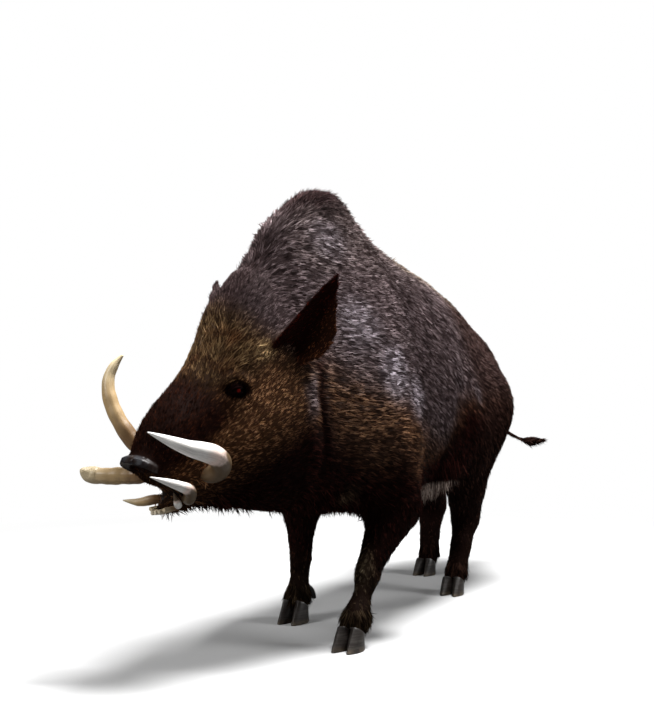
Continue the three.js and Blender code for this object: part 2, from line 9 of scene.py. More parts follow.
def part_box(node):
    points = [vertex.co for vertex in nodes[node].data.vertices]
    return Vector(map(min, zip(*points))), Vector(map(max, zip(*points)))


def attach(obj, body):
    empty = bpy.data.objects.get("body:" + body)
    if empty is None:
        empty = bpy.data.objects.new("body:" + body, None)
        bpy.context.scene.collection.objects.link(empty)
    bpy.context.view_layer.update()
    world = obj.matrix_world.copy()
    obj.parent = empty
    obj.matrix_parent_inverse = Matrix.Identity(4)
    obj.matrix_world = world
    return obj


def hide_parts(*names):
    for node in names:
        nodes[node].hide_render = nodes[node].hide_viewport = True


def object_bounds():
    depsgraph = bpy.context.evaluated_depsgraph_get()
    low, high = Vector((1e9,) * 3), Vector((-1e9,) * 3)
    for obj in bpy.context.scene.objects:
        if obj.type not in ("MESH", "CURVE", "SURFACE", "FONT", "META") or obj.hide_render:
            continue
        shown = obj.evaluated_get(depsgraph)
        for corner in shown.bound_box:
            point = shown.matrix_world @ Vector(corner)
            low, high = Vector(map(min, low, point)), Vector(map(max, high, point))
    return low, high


# Wild boar, life size: one skin with a coat of solid tufts, hooves, tusks, teeth and eyes of their own.
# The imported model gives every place; metres, +X forward, +Y to the animal's left, +Z up.

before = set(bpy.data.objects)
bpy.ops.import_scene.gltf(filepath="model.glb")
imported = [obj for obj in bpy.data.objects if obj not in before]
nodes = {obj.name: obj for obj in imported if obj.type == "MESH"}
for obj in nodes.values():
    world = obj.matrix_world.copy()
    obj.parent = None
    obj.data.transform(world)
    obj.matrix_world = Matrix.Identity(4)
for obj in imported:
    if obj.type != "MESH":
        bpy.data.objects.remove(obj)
cadBox = [list(corner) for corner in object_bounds()]
rng = np.random.default_rng(7)
print("frame loaded:", len(nodes), "nodes")


# camera

camera = {
    "place": (3.1575, 1.3861, 0.647),
    "toward": (-0.9073, -0.4206, -0.0026),
    "lens": 66.8,  # millimetres
    "sensor": 36.0,  # millimetres on the long side
}


def aimed(thing, place, toward):
    thing.location = place
    thing.rotation_euler = Vector(toward).to_track_quat("-Z", "Y").to_euler()
    bpy.context.scene.collection.objects.link(thing)
    return thing


cameraData = bpy.data.cameras.new("camera")
cameraData.lens = camera["lens"]
cameraData.sensor_width = camera["sensor"]
bpy.context.scene.camera = aimed(bpy.data.objects.new("camera", cameraData), camera["place"], camera["toward"])


# shader maths

class Wire:
    # a socket that can be added, multiplied and compared like a number
    def __init__(self, look, socket):
        self.look = look
        self.socket = socket

    def calc(self, operation, *values):
        return self.look.add("Math", {"operation": operation}, dict(enumerate(values)))

    def __add__(self, other):
        return self.calc("ADD", self, other)

    def __radd__(self, other):
        return self.calc("ADD", other, self)

    def __sub__(self, other):
        return self.calc("SUBTRACT", self, other)

    def __rsub__(self, other):
        return self.calc("SUBTRACT", other, self)

    def __mul__(self, other):
        return self.calc("MULTIPLY", self, other)

    def __rmul__(self, other):
        return self.calc("MULTIPLY", other, self)

    def __truediv__(self, other):
        return self.calc("DIVIDE", self, other)

    def __pow__(self, other):
        return self.calc("POWER", self, other)

    def atLeast(self, other):
        return self.calc("MAXIMUM", self, other)

    def ramp(self, low, high, start=0.0, end=1.0):
        # rises smoothly from start to end as the value goes from low to high
        return self.look.add(
            "MapRange",
            {"interpolation_type": "SMOOTHSTEP"},
            {"Value": self, "From Min": low, "From Max": high, "To Min": start, "To Max": end},
        )


class Look:
    # one material, built node by node
    def __init__(self, name, roughness=0.5, constants=()):
        self.material = bpy.data.materials.new(name)
        self.material.use_nodes = True
        self.tree = self.material.node_tree
        self.shader = self.tree.nodes["Principled BSDF"]
        self.shader.inputs["Roughness"].default_value = roughness
        for socket, value in dict(constants).items():
            self.shader.inputs[socket].default_value = value

    def add(self, kind, settings, inputs, out=0):
        node = self.tree.nodes.new("ShaderNode" + kind)
        for key, value in settings.items():
            setattr(node, key, value)
        for key, value in inputs.items():
            self.feed(node.inputs[key], value)
        return Wire(self, node.outputs[out])

    def feed(self, socket, value):
        if isinstance(value, Wire):
            self.tree.links.new(value.socket, socket)
        elif isinstance(value, (tuple, list)) and len(socket.default_value) == 4:
            socket.default_value = (*value, 1)
        else:
            socket.default_value = value

    def set(self, socket, value):
        self.feed(self.shader.inputs[socket], value)

    def place(self):
        return self.add("TexCoord", {}, {}, "Object")

    def axis(self, vector, letter):
        return self.add("SeparateXYZ", {}, {0: vector}, letter)

    def mix(self, mask, a, b, blend="MIX"):
        inputs = {0: mask, 6: a, 7: b}
        return self.add("Mix", {"data_type": "RGBA", "blend_type": blend, "clamp_factor": True}, inputs, 2)

    def noise(self, where, scale, detail=3.0, roughness=0.5):
        inputs = {"Vector": where, "Scale": scale, "Detail": detail, "Roughness": roughness}
        return self.add("TexNoise", {}, inputs)

    def attribute(self, name):
        return self.add("Attribute", {"attribute_name": name}, {}, "Fac")

    def stretched(self, where, scale):
        return self.add("Mapping", {}, {"Vector": where, "Scale": scale})

    def bump(self, height, strength=0.3, distance=0.001):
        normal = self.add("Bump", {}, {"Strength": strength, "Distance": distance, "Height": height})
        self.set("Normal", normal)


# the head's own axes: +X along the muzzle, +Z out of the forehead, in millimetres

headPlan = {
    "eyes": (-16, 30),  # where the eyes lie along X and Z
    "disc": (218, 10),  # and the disc of the nose
}


def spotsOf(mesh):
    return np.array([v.co for v in mesh.vertices])


def lengthsAlong(line):
    return np.concatenate([[0], np.cumsum(np.linalg.norm(np.diff(line, axis=0), axis=1))])


def middle(name):
    points = spotsOf(nodes[name].data)
    return (points.min(0) + points.max(0)) / 2


def headAxes():
    left, right, nose = middle("eye_left"), middle("eye_right"), middle("snout_disc")
    eyes = (left + right) / 2
    side = (left - right) / np.linalg.norm(left - right)
    reach = nose - eyes
    reach -= side * (reach @ side)
    reach /= np.linalg.norm(reach)
    lift = np.cross(reach, side)
    run, drop = headPlan["disc"][0] - headPlan["eyes"][0], headPlan["disc"][1] - headPlan["eyes"][1]
    lean = math.atan2(-drop, run)
    along = reach * math.cos(lean) + lift * math.sin(lean)
    up = np.cross(along, side)
    origin = eyes - along * headPlan["eyes"][0] / 1000 - up * headPlan["eyes"][1] / 1000
    return origin, np.array([along, side, up])


headOrigin, headTurn = headAxes()


def intoHead(points):
    return (points - headOrigin) @ headTurn.T * 1000


def outOfHead(points):
    return np.asarray(points, float) / 1000 @ headTurn + headOrigin


# the horns of the frame, read back as rings round a bent line

def hornRings(name):
    mesh = nodes[name].data
    points = spotsOf(mesh)
    unique, index = np.unique(points.round(6), axis=0, return_inverse=True)
    index = index.ravel()
    near = {i: set() for i in range(len(unique))}
    for a, b in [tuple(e.vertices) for e in mesh.edges]:
        if index[a] != index[b]:
            near[index[a]].add(index[b])
            near[index[b]].add(index[a])
    # the two ends are fans round a middle point; walk from one to the other, ring by ring
    ring = {i for i in near if len(near[i]) >= 6 and all(len(near[j] & near[i]) == 2 for j in near[i])}
    poles = sorted(ring, key=lambda i: -np.linalg.norm(unique[i] - headOrigin))
    best = None
    for pole in poles:
        layers, seen = [{pole}], {pole}
        while True:
            layer = set().union(*[near[i] for i in layers[-1]]) - seen
            if not layer:
                break
            layers.append(layer)
            seen |= layer
        sizes = {len(layer) for layer in layers[1:-1]}
        if len(sizes) == 1 and len(layers[-1]) == 1:
            best = layers
            break
    rings = [unique[sorted(layer)] for layer in best[1:-1]]
    centres = np.array([r.mean(0) for r in rings])
    radii = np.array([np.linalg.norm(r - c, axis=1).mean() for r, c in zip(rings, centres)])
    if np.linalg.norm(centres[0] - headOrigin) > np.linalg.norm(centres[-1] - headOrigin):
        centres, radii = centres[::-1], radii[::-1]
    return centres, radii


# skin: one surface round all the flesh of the frame

flesh = [
    "head", "lower_jaw", "neck", "forequarters", "hindquarters",
    "fore_left_leg", "fore_right_leg", "hind_left_leg", "hind_right_leg",
    "fore_left_shank", "fore_right_shank", "hind_left_shank", "hind_right_shank",
    "ear_left", "ear_right", "snout_disc", "tail", "tail_tuft",
]
tusks = [
    "tusk_left_upper", "tusk_left_lower", "tooth_left",
    "tusk_right_upper", "tusk_right_middle", "tusk_right_lower",
]
skin = {
    "grain": 0.005,  # size of the grid that joins the flesh
    "band": 4,  # cells kept on each side of the surface
    "join": 0.001,  # closes the thin cuts of the frame
    "collar": 0.004,  # flesh standing round the root of a tusk
    "collarReach": {
        "tusk_left_upper": 0.036, "tusk_left_lower": 0.024, "tooth_left": 0.010,
        "tusk_right_upper": 0.030, "tusk_right_middle": 0.026, "tusk_right_lower": 0.016,
    },
}
# each part of the flesh: rounds of smoothing, depth of its coat, then length, width and rise of its
# tufts (metres and radians) and how many grow on a square centimetre
coatPlan = {
    "head": (9, 0.0022, 0.0090, 0.0013, 0.20, 30),
    "lower_jaw": (6, 0.0020, 0.0100, 0.0015, 0.24, 22),
    "neck": (70, 0.0040, 0.0160, 0.0020, 0.20, 12),
    "forequarters": (96, 0.0040, 0.0160, 0.0020, 0.18, 12),
    "hindquarters": (96, 0.0035, 0.0150, 0.0020, 0.17, 12),
    "leg": (17, 0.0026, 0.0105, 0.0016, 0.14, 16),
    "shank": (9, 0.0016, 0.0080, 0.0014, 0.12, 18),
    "ear": (3, -0.0006, 0.0070, 0.0013, 0.16, 16),
    "snout_disc": (2, 0.0004, 0.0040, 0.0010, 0.10, 0),
    "tail": (9, 0.0015, 0.0120, 0.0016, 0.12, 14),
}


def planOf(name):
    key = next(k for k in coatPlan if name == k or name.endswith("_" + k) or name.startswith(k + "_"))
    return coatPlan[key]


def triangles(name):
    mesh = nodes[name].data
    mesh.calc_loop_triangles()
    corners = np.array([t.vertices for t in mesh.loop_triangles], np.int32)
    return spotsOf(mesh).astype(np.float32), corners


def joinedFlesh():
    grain, cells = skin["grain"], skin["band"]
    low = np.floor((np.array(cadBox[0]) - 0.04) / grain).astype(int)
    high = np.ceil((np.array(cadBox[1]) + 0.04) / grain).astype(int)
    field = np.full(high - low, grain * cells, np.float32)
    owner = np.zeros(field.shape, np.int8)
    lattice = vdb.createLinearTransform(voxelSize=grain)
    for number, name in enumerate(flesh):
        points, corners = triangles(name)
        grid = vdb.FloatGrid.createLevelSetFromPolygons(
            points, triangles=corners, transform=lattice, halfWidth=cells
        )
        first = np.floor(points.min(0) / grain).astype(int) - cells - 1
        last = np.ceil(points.max(0) / grain).astype(int) + cells + 2
        part = np.empty(last - first, np.float32)
        grid.copyToArray(part, ijk=tuple(int(v) for v in first))
        window = tuple(slice(a - o, b - o) for a, b, o in zip(first, last, low))
        nearer = part < field[window]
        owner[window][nearer] = number
        field[window][nearer] = part[nearer]
    field -= skin["join"]
    for name in tusks:
        centres, radii = hornRings(name)
        arc = lengthsAlong(centres)
        fine = np.linspace(0, skin["collarReach"][name], 6)
        for t in fine:
            centre = np.array([np.interp(t, arc, centres[:, k]) for k in range(3)])
            radius = np.interp(t, arc, radii) + skin["collar"] * (1 - t / fine[-1] * 0.5)
            first = np.floor((centre - radius) / grain).astype(int) - 2
            last = np.ceil((centre + radius) / grain).astype(int) + 3
            axes = [np.arange(a, b) * grain - c for a, b, c in zip(first, last, centre)]
            away = np.sqrt(sum(g ** 2 for g in np.meshgrid(*axes, indexing="ij"))) - radius
            window = tuple(slice(a - o, b - o) for a, b, o in zip(first, last, low))
            field[window] = np.minimum(field[window], away)
    whole = vdb.FloatGrid(grain * cells)
    whole.transform = lattice
    whole.copyFromArray(field, ijk=tuple(int(v) for v in low), tolerance=0.0)
    points, quads = whole.convertToQuads(isovalue=0.0)
    where = np.clip(np.round(points / grain).astype(int) - low, 0, np.array(field.shape) - 1)
    return points.astype(float), quads.astype(np.int64), owner[tuple(where.T)]


def edgesOf(*faceSets):
    pairs = [np.stack([f, np.roll(f, -1, 1)], 2).reshape(-1, 2) for f in faceSets if len(f)]
    return np.unique(np.sort(np.concatenate(pairs), 1), axis=0)


def averager(count, edges):
    a, b = edges.T
    reach = np.bincount(a, minlength=count) + np.bincount(b, minlength=count)

    def average(values):
        columns = values.reshape(count, -1).T
        sums = [
            np.bincount(a, weights=c[b], minlength=count) + np.bincount(b, weights=c[a], minlength=count)
            for c in columns
        ]
        return (np.stack(sums, 1) / reach[:, None]).reshape(values.shape)

    return average


def smoothed(values, average, rounds, share=0.6):
    # rounds may differ from point to point
    rounds = np.broadcast_to(np.asarray(rounds, float), (len(values),))
    for turn in range(int(math.ceil(rounds.max()))):
        move = share * np.clip(rounds - turn, 0, 1)
        values = values + (average(values) - values) * move.reshape(-1, *[1] * (values.ndim - 1))
    return values


def largestPiece(points, quads, owner):
    # leaves out any bubble closed off inside the flesh
    label = np.arange(len(points))
    edges = edgesOf(quads)
    while True:
        low = np.minimum(label[edges[:, 0]], label[edges[:, 1]])
        new = label.copy()
        np.minimum.at(new, edges[:, 0], low)
        np.minimum.at(new, edges[:, 1], low)
        new = new[new]
        if (new == label).all():
            break
        label = new
    keep = label == np.bincount(label).argmax()
    number = np.cumsum(keep) - 1
    return points[keep], number[quads[keep[quads[:, 0]]]], owner[keep]


def split(points, quads, tris, chosen):
    # cuts the chosen quads in four; their neighbours become fans so that no seam opens
    count = len(points)
    ends = np.sort(np.stack([quads, np.roll(quads, -1, 1)], 2).reshape(-1, 2), 1)
    unique, index = np.unique(ends[:, 0] * count + ends[:, 1], return_inverse=True)
    edge = index.reshape(-1, 4)
    used = np.zeros(len(unique), bool)
    used[edge[chosen].ravel()] = True
    middles = points[np.stack([unique // count, unique % count], 1)[used]].mean(1)
    number = np.cumsum(used) - 1 + count
    touched = chosen | used[edge].any(1)
    centres = points[quads[touched]].mean(1)
    centre = np.zeros(len(quads), np.int64)
    centre[touched] = count + len(middles) + np.arange(touched.sum())
    fresh, fans = [quads[~touched]], [tris]
    rim = touched & ~chosen
    for i in range(4):
        here, after = edge[:, i], edge[:, i - 1]
        fresh.append(np.stack([quads[:, i], number[here], centre, number[after]], 1)[chosen])
        cut = rim & used[here]
        fans.append(np.stack([quads[:, i], number[here], centre], 1)[cut])
        fans.append(np.stack([number[here], quads[:, (i + 1) % 4], centre], 1)[cut])
        fans.append(np.stack([quads[:, i], quads[:, (i + 1) % 4], centre], 1)[rim & ~used[here]])
    return np.concatenate([points, middles, centres]), np.concatenate(fresh), np.concatenate(fans)


def unit(vectors):
    return vectors / np.maximum(np.linalg.norm(vectors, axis=-1, keepdims=True), 1e-12)


def normalsOf(points, quads, tris):
    normals = np.zeros_like(points)
    for faces in (quads, tris):
        if len(faces):
            first, second, third, last = (points[faces[:, k]] for k in (0, 1, 2, -1))
            reach = third - first
            crossed = np.cross(reach, last - second) if faces.shape[1] == 4 else np.cross(second - first, reach)
            for corner in faces.T:
                for k in range(3):
                    normals[:, k] += np.bincount(corner, weights=crossed[:, k], minlength=len(points))
    return unit(normals)


def step(low, high, values):
    t = np.clip((values - low) / (high - low), 0, 1)
    return t * t * (3 - 2 * t)


def bell(values, centre, width):
    return np.exp(-(((values - centre) / width) ** 2))


def band(values, low, high, soft=0.02):
    # 1 between low and high, softly 0 outside
    return step(low - soft, low + soft, values) * (1 - step(high - soft, high + soft, values))


points, quads, owner = joinedFlesh()
points, quads, owner = largestPiece(points, quads, owner)
volume = np.einsum("ij,ij->", points[quads[:, 0]], np.cross(points[quads[:, 1]], points[quads[:, 2]]))
if volume < 0:
    quads = quads[:, ::-1].copy()
print("flesh joined:", len(points), "points")

def shareOf(*names):
    # how far each point of the skin belongs to the named parts
    return shares[:, [flesh.index(name) for name in names]].sum(1)


shares = np.eye(len(flesh))[owner]
average = averager(len(points), edgesOf(quads))
shares = smoothed(shares, average, 12)
plans = np.array([planOf(name) for name in flesh])
points = smoothed(points, average, shares @ plans[:, 0])
print("flesh smoothed")

# finer cells over the head, and finer again round the eyes
eyeSpots = {side: middle("eye_" + side) for side in ("left", "right")}
state = np.concatenate([points, shares], 1)
tris = np.zeros((0, 3), np.int64)
local = intoHead(state[quads[:, 0], :3])
headShare = shareOf("head", "lower_jaw", "snout_disc")
state, quads, tris = split(state, quads, tris, (headShare[quads].min(1) > 0.5) & (local[:, 0] > -150))
nearEye = np.zeros(len(quads), bool)
for spot in eyeSpots.values():
    nearEye |= np.linalg.norm(state[quads[:, 0], :3] - spot, axis=1) < 0.034
nearEye |= np.linalg.norm(state[quads[:, 0], :3] - middle("snout_disc"), axis=1) < 0.056
state, quads, tris = split(state, quads, tris, nearEye)
points, shares = state[:, :3], state[:, 3:]
average = averager(len(points), edgesOf(quads, tris))
points = smoothed(points, average, 3)
normals = normalsOf(points, quads, tris)
points = points - normals * (shares @ plans[:, 1])[:, None]
print("skin split:", len(points), "points")


# folds, lids and wrinkles

face = {
    "eyeRadius": 13.5,
    "lidDepth": 2.4,
    "opening": (13.0, 6.0),  # half length and half height of the lids' opening
    "eyeTurn": 34,  # degrees, the front corner lower
    "outward": (0.30, 0.93, 0.20),
    "crease": (-174, -87, -0.56),  # the fold behind the cheek: X at a Z, and how far X moves with Z
    "creaseDepth": 6.0,
    "cheekRise": 3.5,  # of the cheek in front of the fold
    "earHollow": 7.0,
    "lipDepth": 4.0,
    "lipRise": 1.6,
    "snoutWrinkle": 0.55,
    "browFold": 0.9,
    # round the eye: brow above, cheekbone below and behind, a hollow in front
    "browRise": 5.0,
    "boneBelow": 3.0,
    "boneBehind": 2.5,
    "frontHollow": 2.0,
    "lidBlend": 11,  # how softly the lids run out into the face
}
nose = {
    "pitch": 28,  # degrees the disc leans down
    "half": (49, 48),  # millimetres
    "nostril": (18, 3, 8.5, 11.5, 13),  # place across and up, half sizes and depth
}
ears = {
    # where each ear opens to, in the head's own axes
    "left": (0.50, 0.86, 0.08),
    "right": (0.34, -0.86, -0.18),
    "foot": (-129, 104, 23),  # the root of the left ear
    "rearward": (-0.395, 0.22, -0.895),  # across the left ear, toward its lobe
    "lobe": (20, 52),  # where the brown hair of the lobe begins and is full, across the ear
}


def eyeFrame(side):
    sign = 1 if side == "left" else -1
    centre = intoHead(eyeSpots[side])
    outward = unit(np.array(face["outward"]) * (1, sign, 1))
    ahead = unit(np.array([1.0, 0, 0]) - outward * outward[0])
    above = np.cross(outward, ahead) * (1 if side == "right" else -1)
    above = above if above[2] > 0 else -above
    turn = math.radians(face["eyeTurn"])
    u = ahead * math.cos(turn) + above * math.sin(turn)
    v = above * math.cos(turn) - ahead * math.sin(turn)
    return centre, outward, u, v


def sculptEye(local, side):
    centre, outward, uAxis, vAxis = eyeFrame(side)
    away = local - centre
    u, v, depth = away @ uAxis, away @ vAxis, away @ outward
    reach = np.hypot(u, v)
    radius = face["eyeRadius"]
    near = (depth > -24) & (reach < 60)
    upward, forward = v / np.maximum(reach, 1), u / np.maximum(reach, 1)
    rise = face["browRise"] * bell(reach, 29, 11) * step(-0.1, 0.8, upward)
    rise += face["boneBelow"] * bell(reach, 28, 11) * step(0.0, 0.8, -upward)
    rise += face["boneBehind"] * bell(reach, 26, 9) * step(0.2, 0.9, -forward)
    rise -= face["frontHollow"] * bell(reach, 24, 7) * step(0.5, 0.95, forward)
    target = depth + rise
    lid = radius + face["lidDepth"]
    dome = np.where(
        reach < 0.86 * lid,
        np.sqrt(np.maximum(lid ** 2 - reach ** 2, 0)),
        0.51 * lid - (reach - 0.86 * lid) * 1.5,
    )
    blend = face["lidBlend"]
    h = np.clip(0.5 + 0.5 * (target - dome) / blend, 0, 1)
    covered = dome + (target - dome) * h + blend * h * (1 - h) * step(0.9, 2.2, reach / radius)
    long, tall = face["opening"]
    almond = np.hypot(u / long, v / (tall * np.where(v > 0, 1.0, 0.85)))
    pinch = np.abs(v) / tall + (np.abs(u) / long) ** 2
    opening = np.maximum(almond, pinch * 0.94)
    # a raised rim, then two creases round it
    covered += 0.9 * bell(opening, 1.18, 0.16) - 1.0 * bell(opening, 1.62, 0.16)
    covered -= 0.7 * bell(opening, 2.15, 0.2)
    ball = np.sqrt(np.maximum(radius ** 2 - reach ** 2, 0)) - 3.5
    inside = 1 - step(0.9, 1.05, opening)
    final = np.where(near, covered * (1 - inside) + np.minimum(covered, ball) * inside, depth)
    fade = 1 - step(38, 52, reach)
    bare = np.where(near, 1 - step(1.1, 1.6, opening), 0)
    moved = local + outward * ((final - depth) * fade)[:, None]
    return moved, bare, np.where(near, opening, 99)


def sculptNose(local):
    # a flat, hollowed face with two nostrils inside a sharp rim, and a groove behind it
    lean = math.radians(nose["pitch"])
    axis, up = np.array([math.cos(lean), 0, -math.sin(lean)]), np.array([math.sin(lean), 0, math.cos(lean)])
    away = local - intoHead(middle("snout_disc"))
    depth, u, v = away @ axis, away[:, 1], away @ up
    rho = np.hypot(u / nose["half"][0], v / nose["half"][1])
    across, above, wide, tall, deep = nose["nostril"]
    hole = np.hypot((np.abs(u) - across) / wide, (v - above) / tall)
    front = 7.5 - 3.5 * (1 - np.minimum(rho / 0.8, 1) ** 2) + 3.0 * bell(rho, 0.93, 0.09)
    front += 1.6 * bell(hole, 1.3, 0.2) - deep * (1 - step(0.5, 1.05, hole))
    front -= 1.2 * bell(u, 0, 3) * step(5, -15, v)
    share = step(-2, 4, depth) * (1 - step(0.98, 1.08, rho)) * (rho < 1.2)
    near = (rho < 1.5) & (np.abs(depth) < 40)
    spread = 1.4 * bell(depth, 8, 3.0) - 1.2 * bell(depth, -10, 4)
    spread = spread * step(0.75, 0.95, rho) * near
    outward = unit(np.stack([u, v], 1))
    moved = local + axis * ((front - depth) * share * near)[:, None]
    moved += outward[:, :1] * spread[:, None] * [0, 1, 0] + outward[:, 1:] * spread[:, None] * up
    return moved


def creaseLine(z):
    at, height, lean = face["crease"]
    return at + lean * (z - height) + 3 * np.sin(z / 26)


folds = (
    # hollows of the trunk on both sides: the two ends of each (metres), its half width and its depth
    ((0.15, 0.24, 0.50), (0.19, 0.20, 0.36), 0.028, 0.010),  # behind the elbow
    ((-0.20, 0.23, 0.56), (-0.08, 0.20, 0.38), 0.045, 0.014),  # between barrel and thigh
    ((-0.30, 0.17, 0.66), (-0.24, 0.22, 0.50), 0.050, 0.010),
)


def creased(points, normals):
    # the trunk drawn in along its hollows
    depth = np.zeros(len(points))
    for start, end, width, deep in folds:
        mirrored = points.copy()
        mirrored[:, 1] = np.abs(mirrored[:, 1])
        start, run = np.array(start), np.array(end) - start
        t = np.clip((mirrored - start) @ run / (run @ run), 0, 1)
        away = np.linalg.norm(mirrored - start - t[:, None] * run, axis=1)
        depth = np.maximum(depth, deep * bell(away, 0, width))
    return points - normals * depth[:, None]


def sculpt(points, normals, headPart):
    local = intoHead(points)
    push = normals @ headTurn.T
    x, y, z = local.T
    off = np.zeros(len(points))
    # wrinkles across the snout behind the disc, and a raised rim round the disc itself
    wrinkle = np.sin(2 * np.pi * (x + 3 * np.sin(y / 14) + 2 * np.sin(z / 10)) / 9.5)
    off += face["snoutWrinkle"] * wrinkle * step(128, 168, x) * (1 - step(196, 206, x)) * step(-40, -10, z)
    # the fold behind the cheek, with the cheek standing proud in front of it
    line = creaseLine(z)
    crease = band(z, -268, -55, 22) * step(78, 96, np.abs(y))
    off -= face["creaseDepth"] * bell(x, line - 4, 16) * crease
    off += face["cheekRise"] * bell(x, line + 34, 24) * crease
    # the hollow under the ear
    off -= face["earHollow"] * bell(np.hypot(x + 148, z + 42), 0, 26) * step(70, 90, np.abs(y))
    # the mouth line behind the tusks
    lip = -88 - 0.18 * (x - 120) + 3 * np.sin(x / 19)
    beside = step(18, 30, np.abs(y))
    off -= face["lipDepth"] * bell(z, lip, 3.6) * step(70, 100, x) * (1 - step(185, 200, x)) * beside
    off += face["lipRise"] * bell(z, lip + 11, 6) * step(70, 100, x) * (1 - step(185, 205, x)) * beside
    # soft folds of the brow
    ripple = np.sin(2 * np.pi * (z + 0.5 * x) / 17)
    off += face["browFold"] * ripple * bell(x, -2, 30) * step(50, 70, z) * (np.abs(y) > 12)
    moved = sculptNose(local + push * (off * headPart)[:, None])
    bare = np.zeros(len(points))
    openings = np.full(len(points), 99.0)
    for side in ("left", "right"):
        moved, ring, opening = sculptEye(moved, side)
        bare = np.maximum(bare, ring)
        openings = np.minimum(openings, opening)
    return outOfHead(moved), bare, openings


normals = normalsOf(points, quads, tris)
headPart = np.clip(shareOf("head", "lower_jaw", "neck"), 0, 1)
points, lidBare, eyeOpening = sculpt(creased(points, normals), normals, headPart)
normals = normalsOf(points, quads, tris)
local = intoHead(points)

discShare, jawShare = shareOf("snout_disc"), shareOf("lower_jaw")
mouthInside = step(118, 140, local[:, 0]) * bell(local[:, 2], -72, 16) * (1 - step(34, 46, np.abs(local[:, 1])))
bare = np.clip(np.maximum.reduce([step(0.40, 0.7, discShare), lidBare, mouthInside]), 0, 1)


def earSides():
    # 1 on the inner side of an ear, and the part of it that carries warm brown hair
    inner, warm = np.zeros(len(points)), np.zeros(len(points))
    for word in ("left", "right"):
        share = shareOf("ear_" + word)
        opening = unit(np.array(ears[word])) @ headTurn
        mirror = np.array([1, 1 if word == "left" else -1, 1])
        across = (intoHead(points) - ears["foot"] * mirror) @ (ears["rearward"] * mirror)
        here = step(0.3, 0.6, share) * step(0.10, 0.35, normals @ opening)
        inner = np.maximum(inner, here)
        warm = np.maximum(warm, here * step(*ears["lobe"], across))
    return inner, warm


inner, warm = earSides()
print("face sculpted")


# the lie of the coat

def flowOf(points, normals):
    local = intoHead(points)
    x, y, z = points.T
    side = np.sign(y)
    flat = np.abs(normals[:, 1])
    ones = np.ones(len(points))
    back = np.stack([-ones, 0 * ones, 0 * ones], 1)
    wave = np.sin(x * 17 + 2 * np.sin(z * 11)) * 0.5 + np.sin(x * 7 - z * 9) * 0.5
    trunkFall = (0.18 + 1.1 * step(0.32, -0.25, x) + 0.25 * wave) * flat
    trunk = back + np.stack([0 * ones, 0 * ones, -trunkFall], 1)
    haunch = np.stack([-0.75 * ones, 0 * ones, -1.15 * flat - 0.1], 1)
    neckward = unit(np.array([-0.85, 0.12, 0.25]))
    neckLie = neckward + np.stack([0 * ones, side * 0.2, -0.55 * flat], 1)
    headLie = (-headTurn[0] + 0.20 * headTurn[2])[None] + side[:, None] * 0.18 * headTurn[1]
    headLie = headLie + np.where(local[:, 2:3] < -40, -0.25, 0.0) * headTurn[2]
    down = np.stack([-0.12 * ones, 0 * ones, -ones], 1)
    earLies = {}
    for word in ("left", "right"):
        low, high = (np.array(corner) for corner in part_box("ear_" + word))
        earLies[word] = unit((low + high) / 2 - middle("eye_" + word))[None] + 0 * back
    tail = np.stack([0 * ones, step(0.43, 0.39, z), -step(0.39, 0.43, z)], 1) + 0.05
    lie = {
        "head": headLie, "lower_jaw": headLie, "snout_disc": headLie, "neck": neckLie,
        "forequarters": trunk, "hindquarters": haunch, "leg": down, "shank": down,
        "ear_left": earLies["left"], "ear_right": earLies["right"], "tail": tail,
    }
    total = np.zeros_like(points)
    for number, name in enumerate(flesh):
        key = next(k for k in lie if name == k or name.endswith(k) or name.startswith(k))
        total += shares[:, number:number + 1] * unit(lie[key])
    return total


def tangent(vectors, normals):
    return unit(vectors - normals * np.einsum("ij,ij->i", vectors, normals)[:, None])


lie = flowOf(points, normals)
lie = tangent(smoothed(lie, average, 14), normals)
print("lie of the coat set")


# meshes from arrays

def meshFrom(name, points, faceSets, attributes=(), uv=None, smooth=True):
    mesh = bpy.data.meshes.new(name)
    faceSets = [f for f in faceSets if len(f)]
    loops = np.concatenate([f.ravel() for f in faceSets]).astype(np.int32)
    sizes = np.concatenate([np.full(len(f), f.shape[1]) for f in faceSets]).astype(np.int32)
    mesh.vertices.add(len(points))
    mesh.vertices.foreach_set("co", np.ascontiguousarray(points, np.float32).ravel())
    mesh.loops.add(len(loops))
    mesh.loops.foreach_set("vertex_index", loops)
    mesh.polygons.add(len(sizes))
    mesh.polygons.foreach_set("loop_start", np.concatenate([[0], np.cumsum(sizes)[:-1]]).astype(np.int32))
    mesh.update(calc_edges=True)
    mesh.polygons.foreach_set("use_smooth", np.full(len(sizes), smooth))
    for key, values in dict(attributes).items():
        layer = mesh.attributes.new(key, "FLOAT", "POINT")
        layer.data.foreach_set("value", np.ascontiguousarray(values, np.float32))
    if uv is not None:
        layer = mesh.uv_layers.new(name="OFBake")
        layer.data.foreach_set("uv", np.ascontiguousarray(uv[loops], np.float32).ravel())
    mesh.validate()
    thing = bpy.data.objects.new(name, mesh)
    bpy.context.scene.collection.objects.link(thing)
    return thing


def finished(thing, look, replaced=()):
    thing.data.materials.clear()
    thing.data.materials.append(look.material)
    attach(thing, "root")
    if replaced:
        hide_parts(*replaced)
    return thing


# the colours of the coat, shared by the skin and its tufts

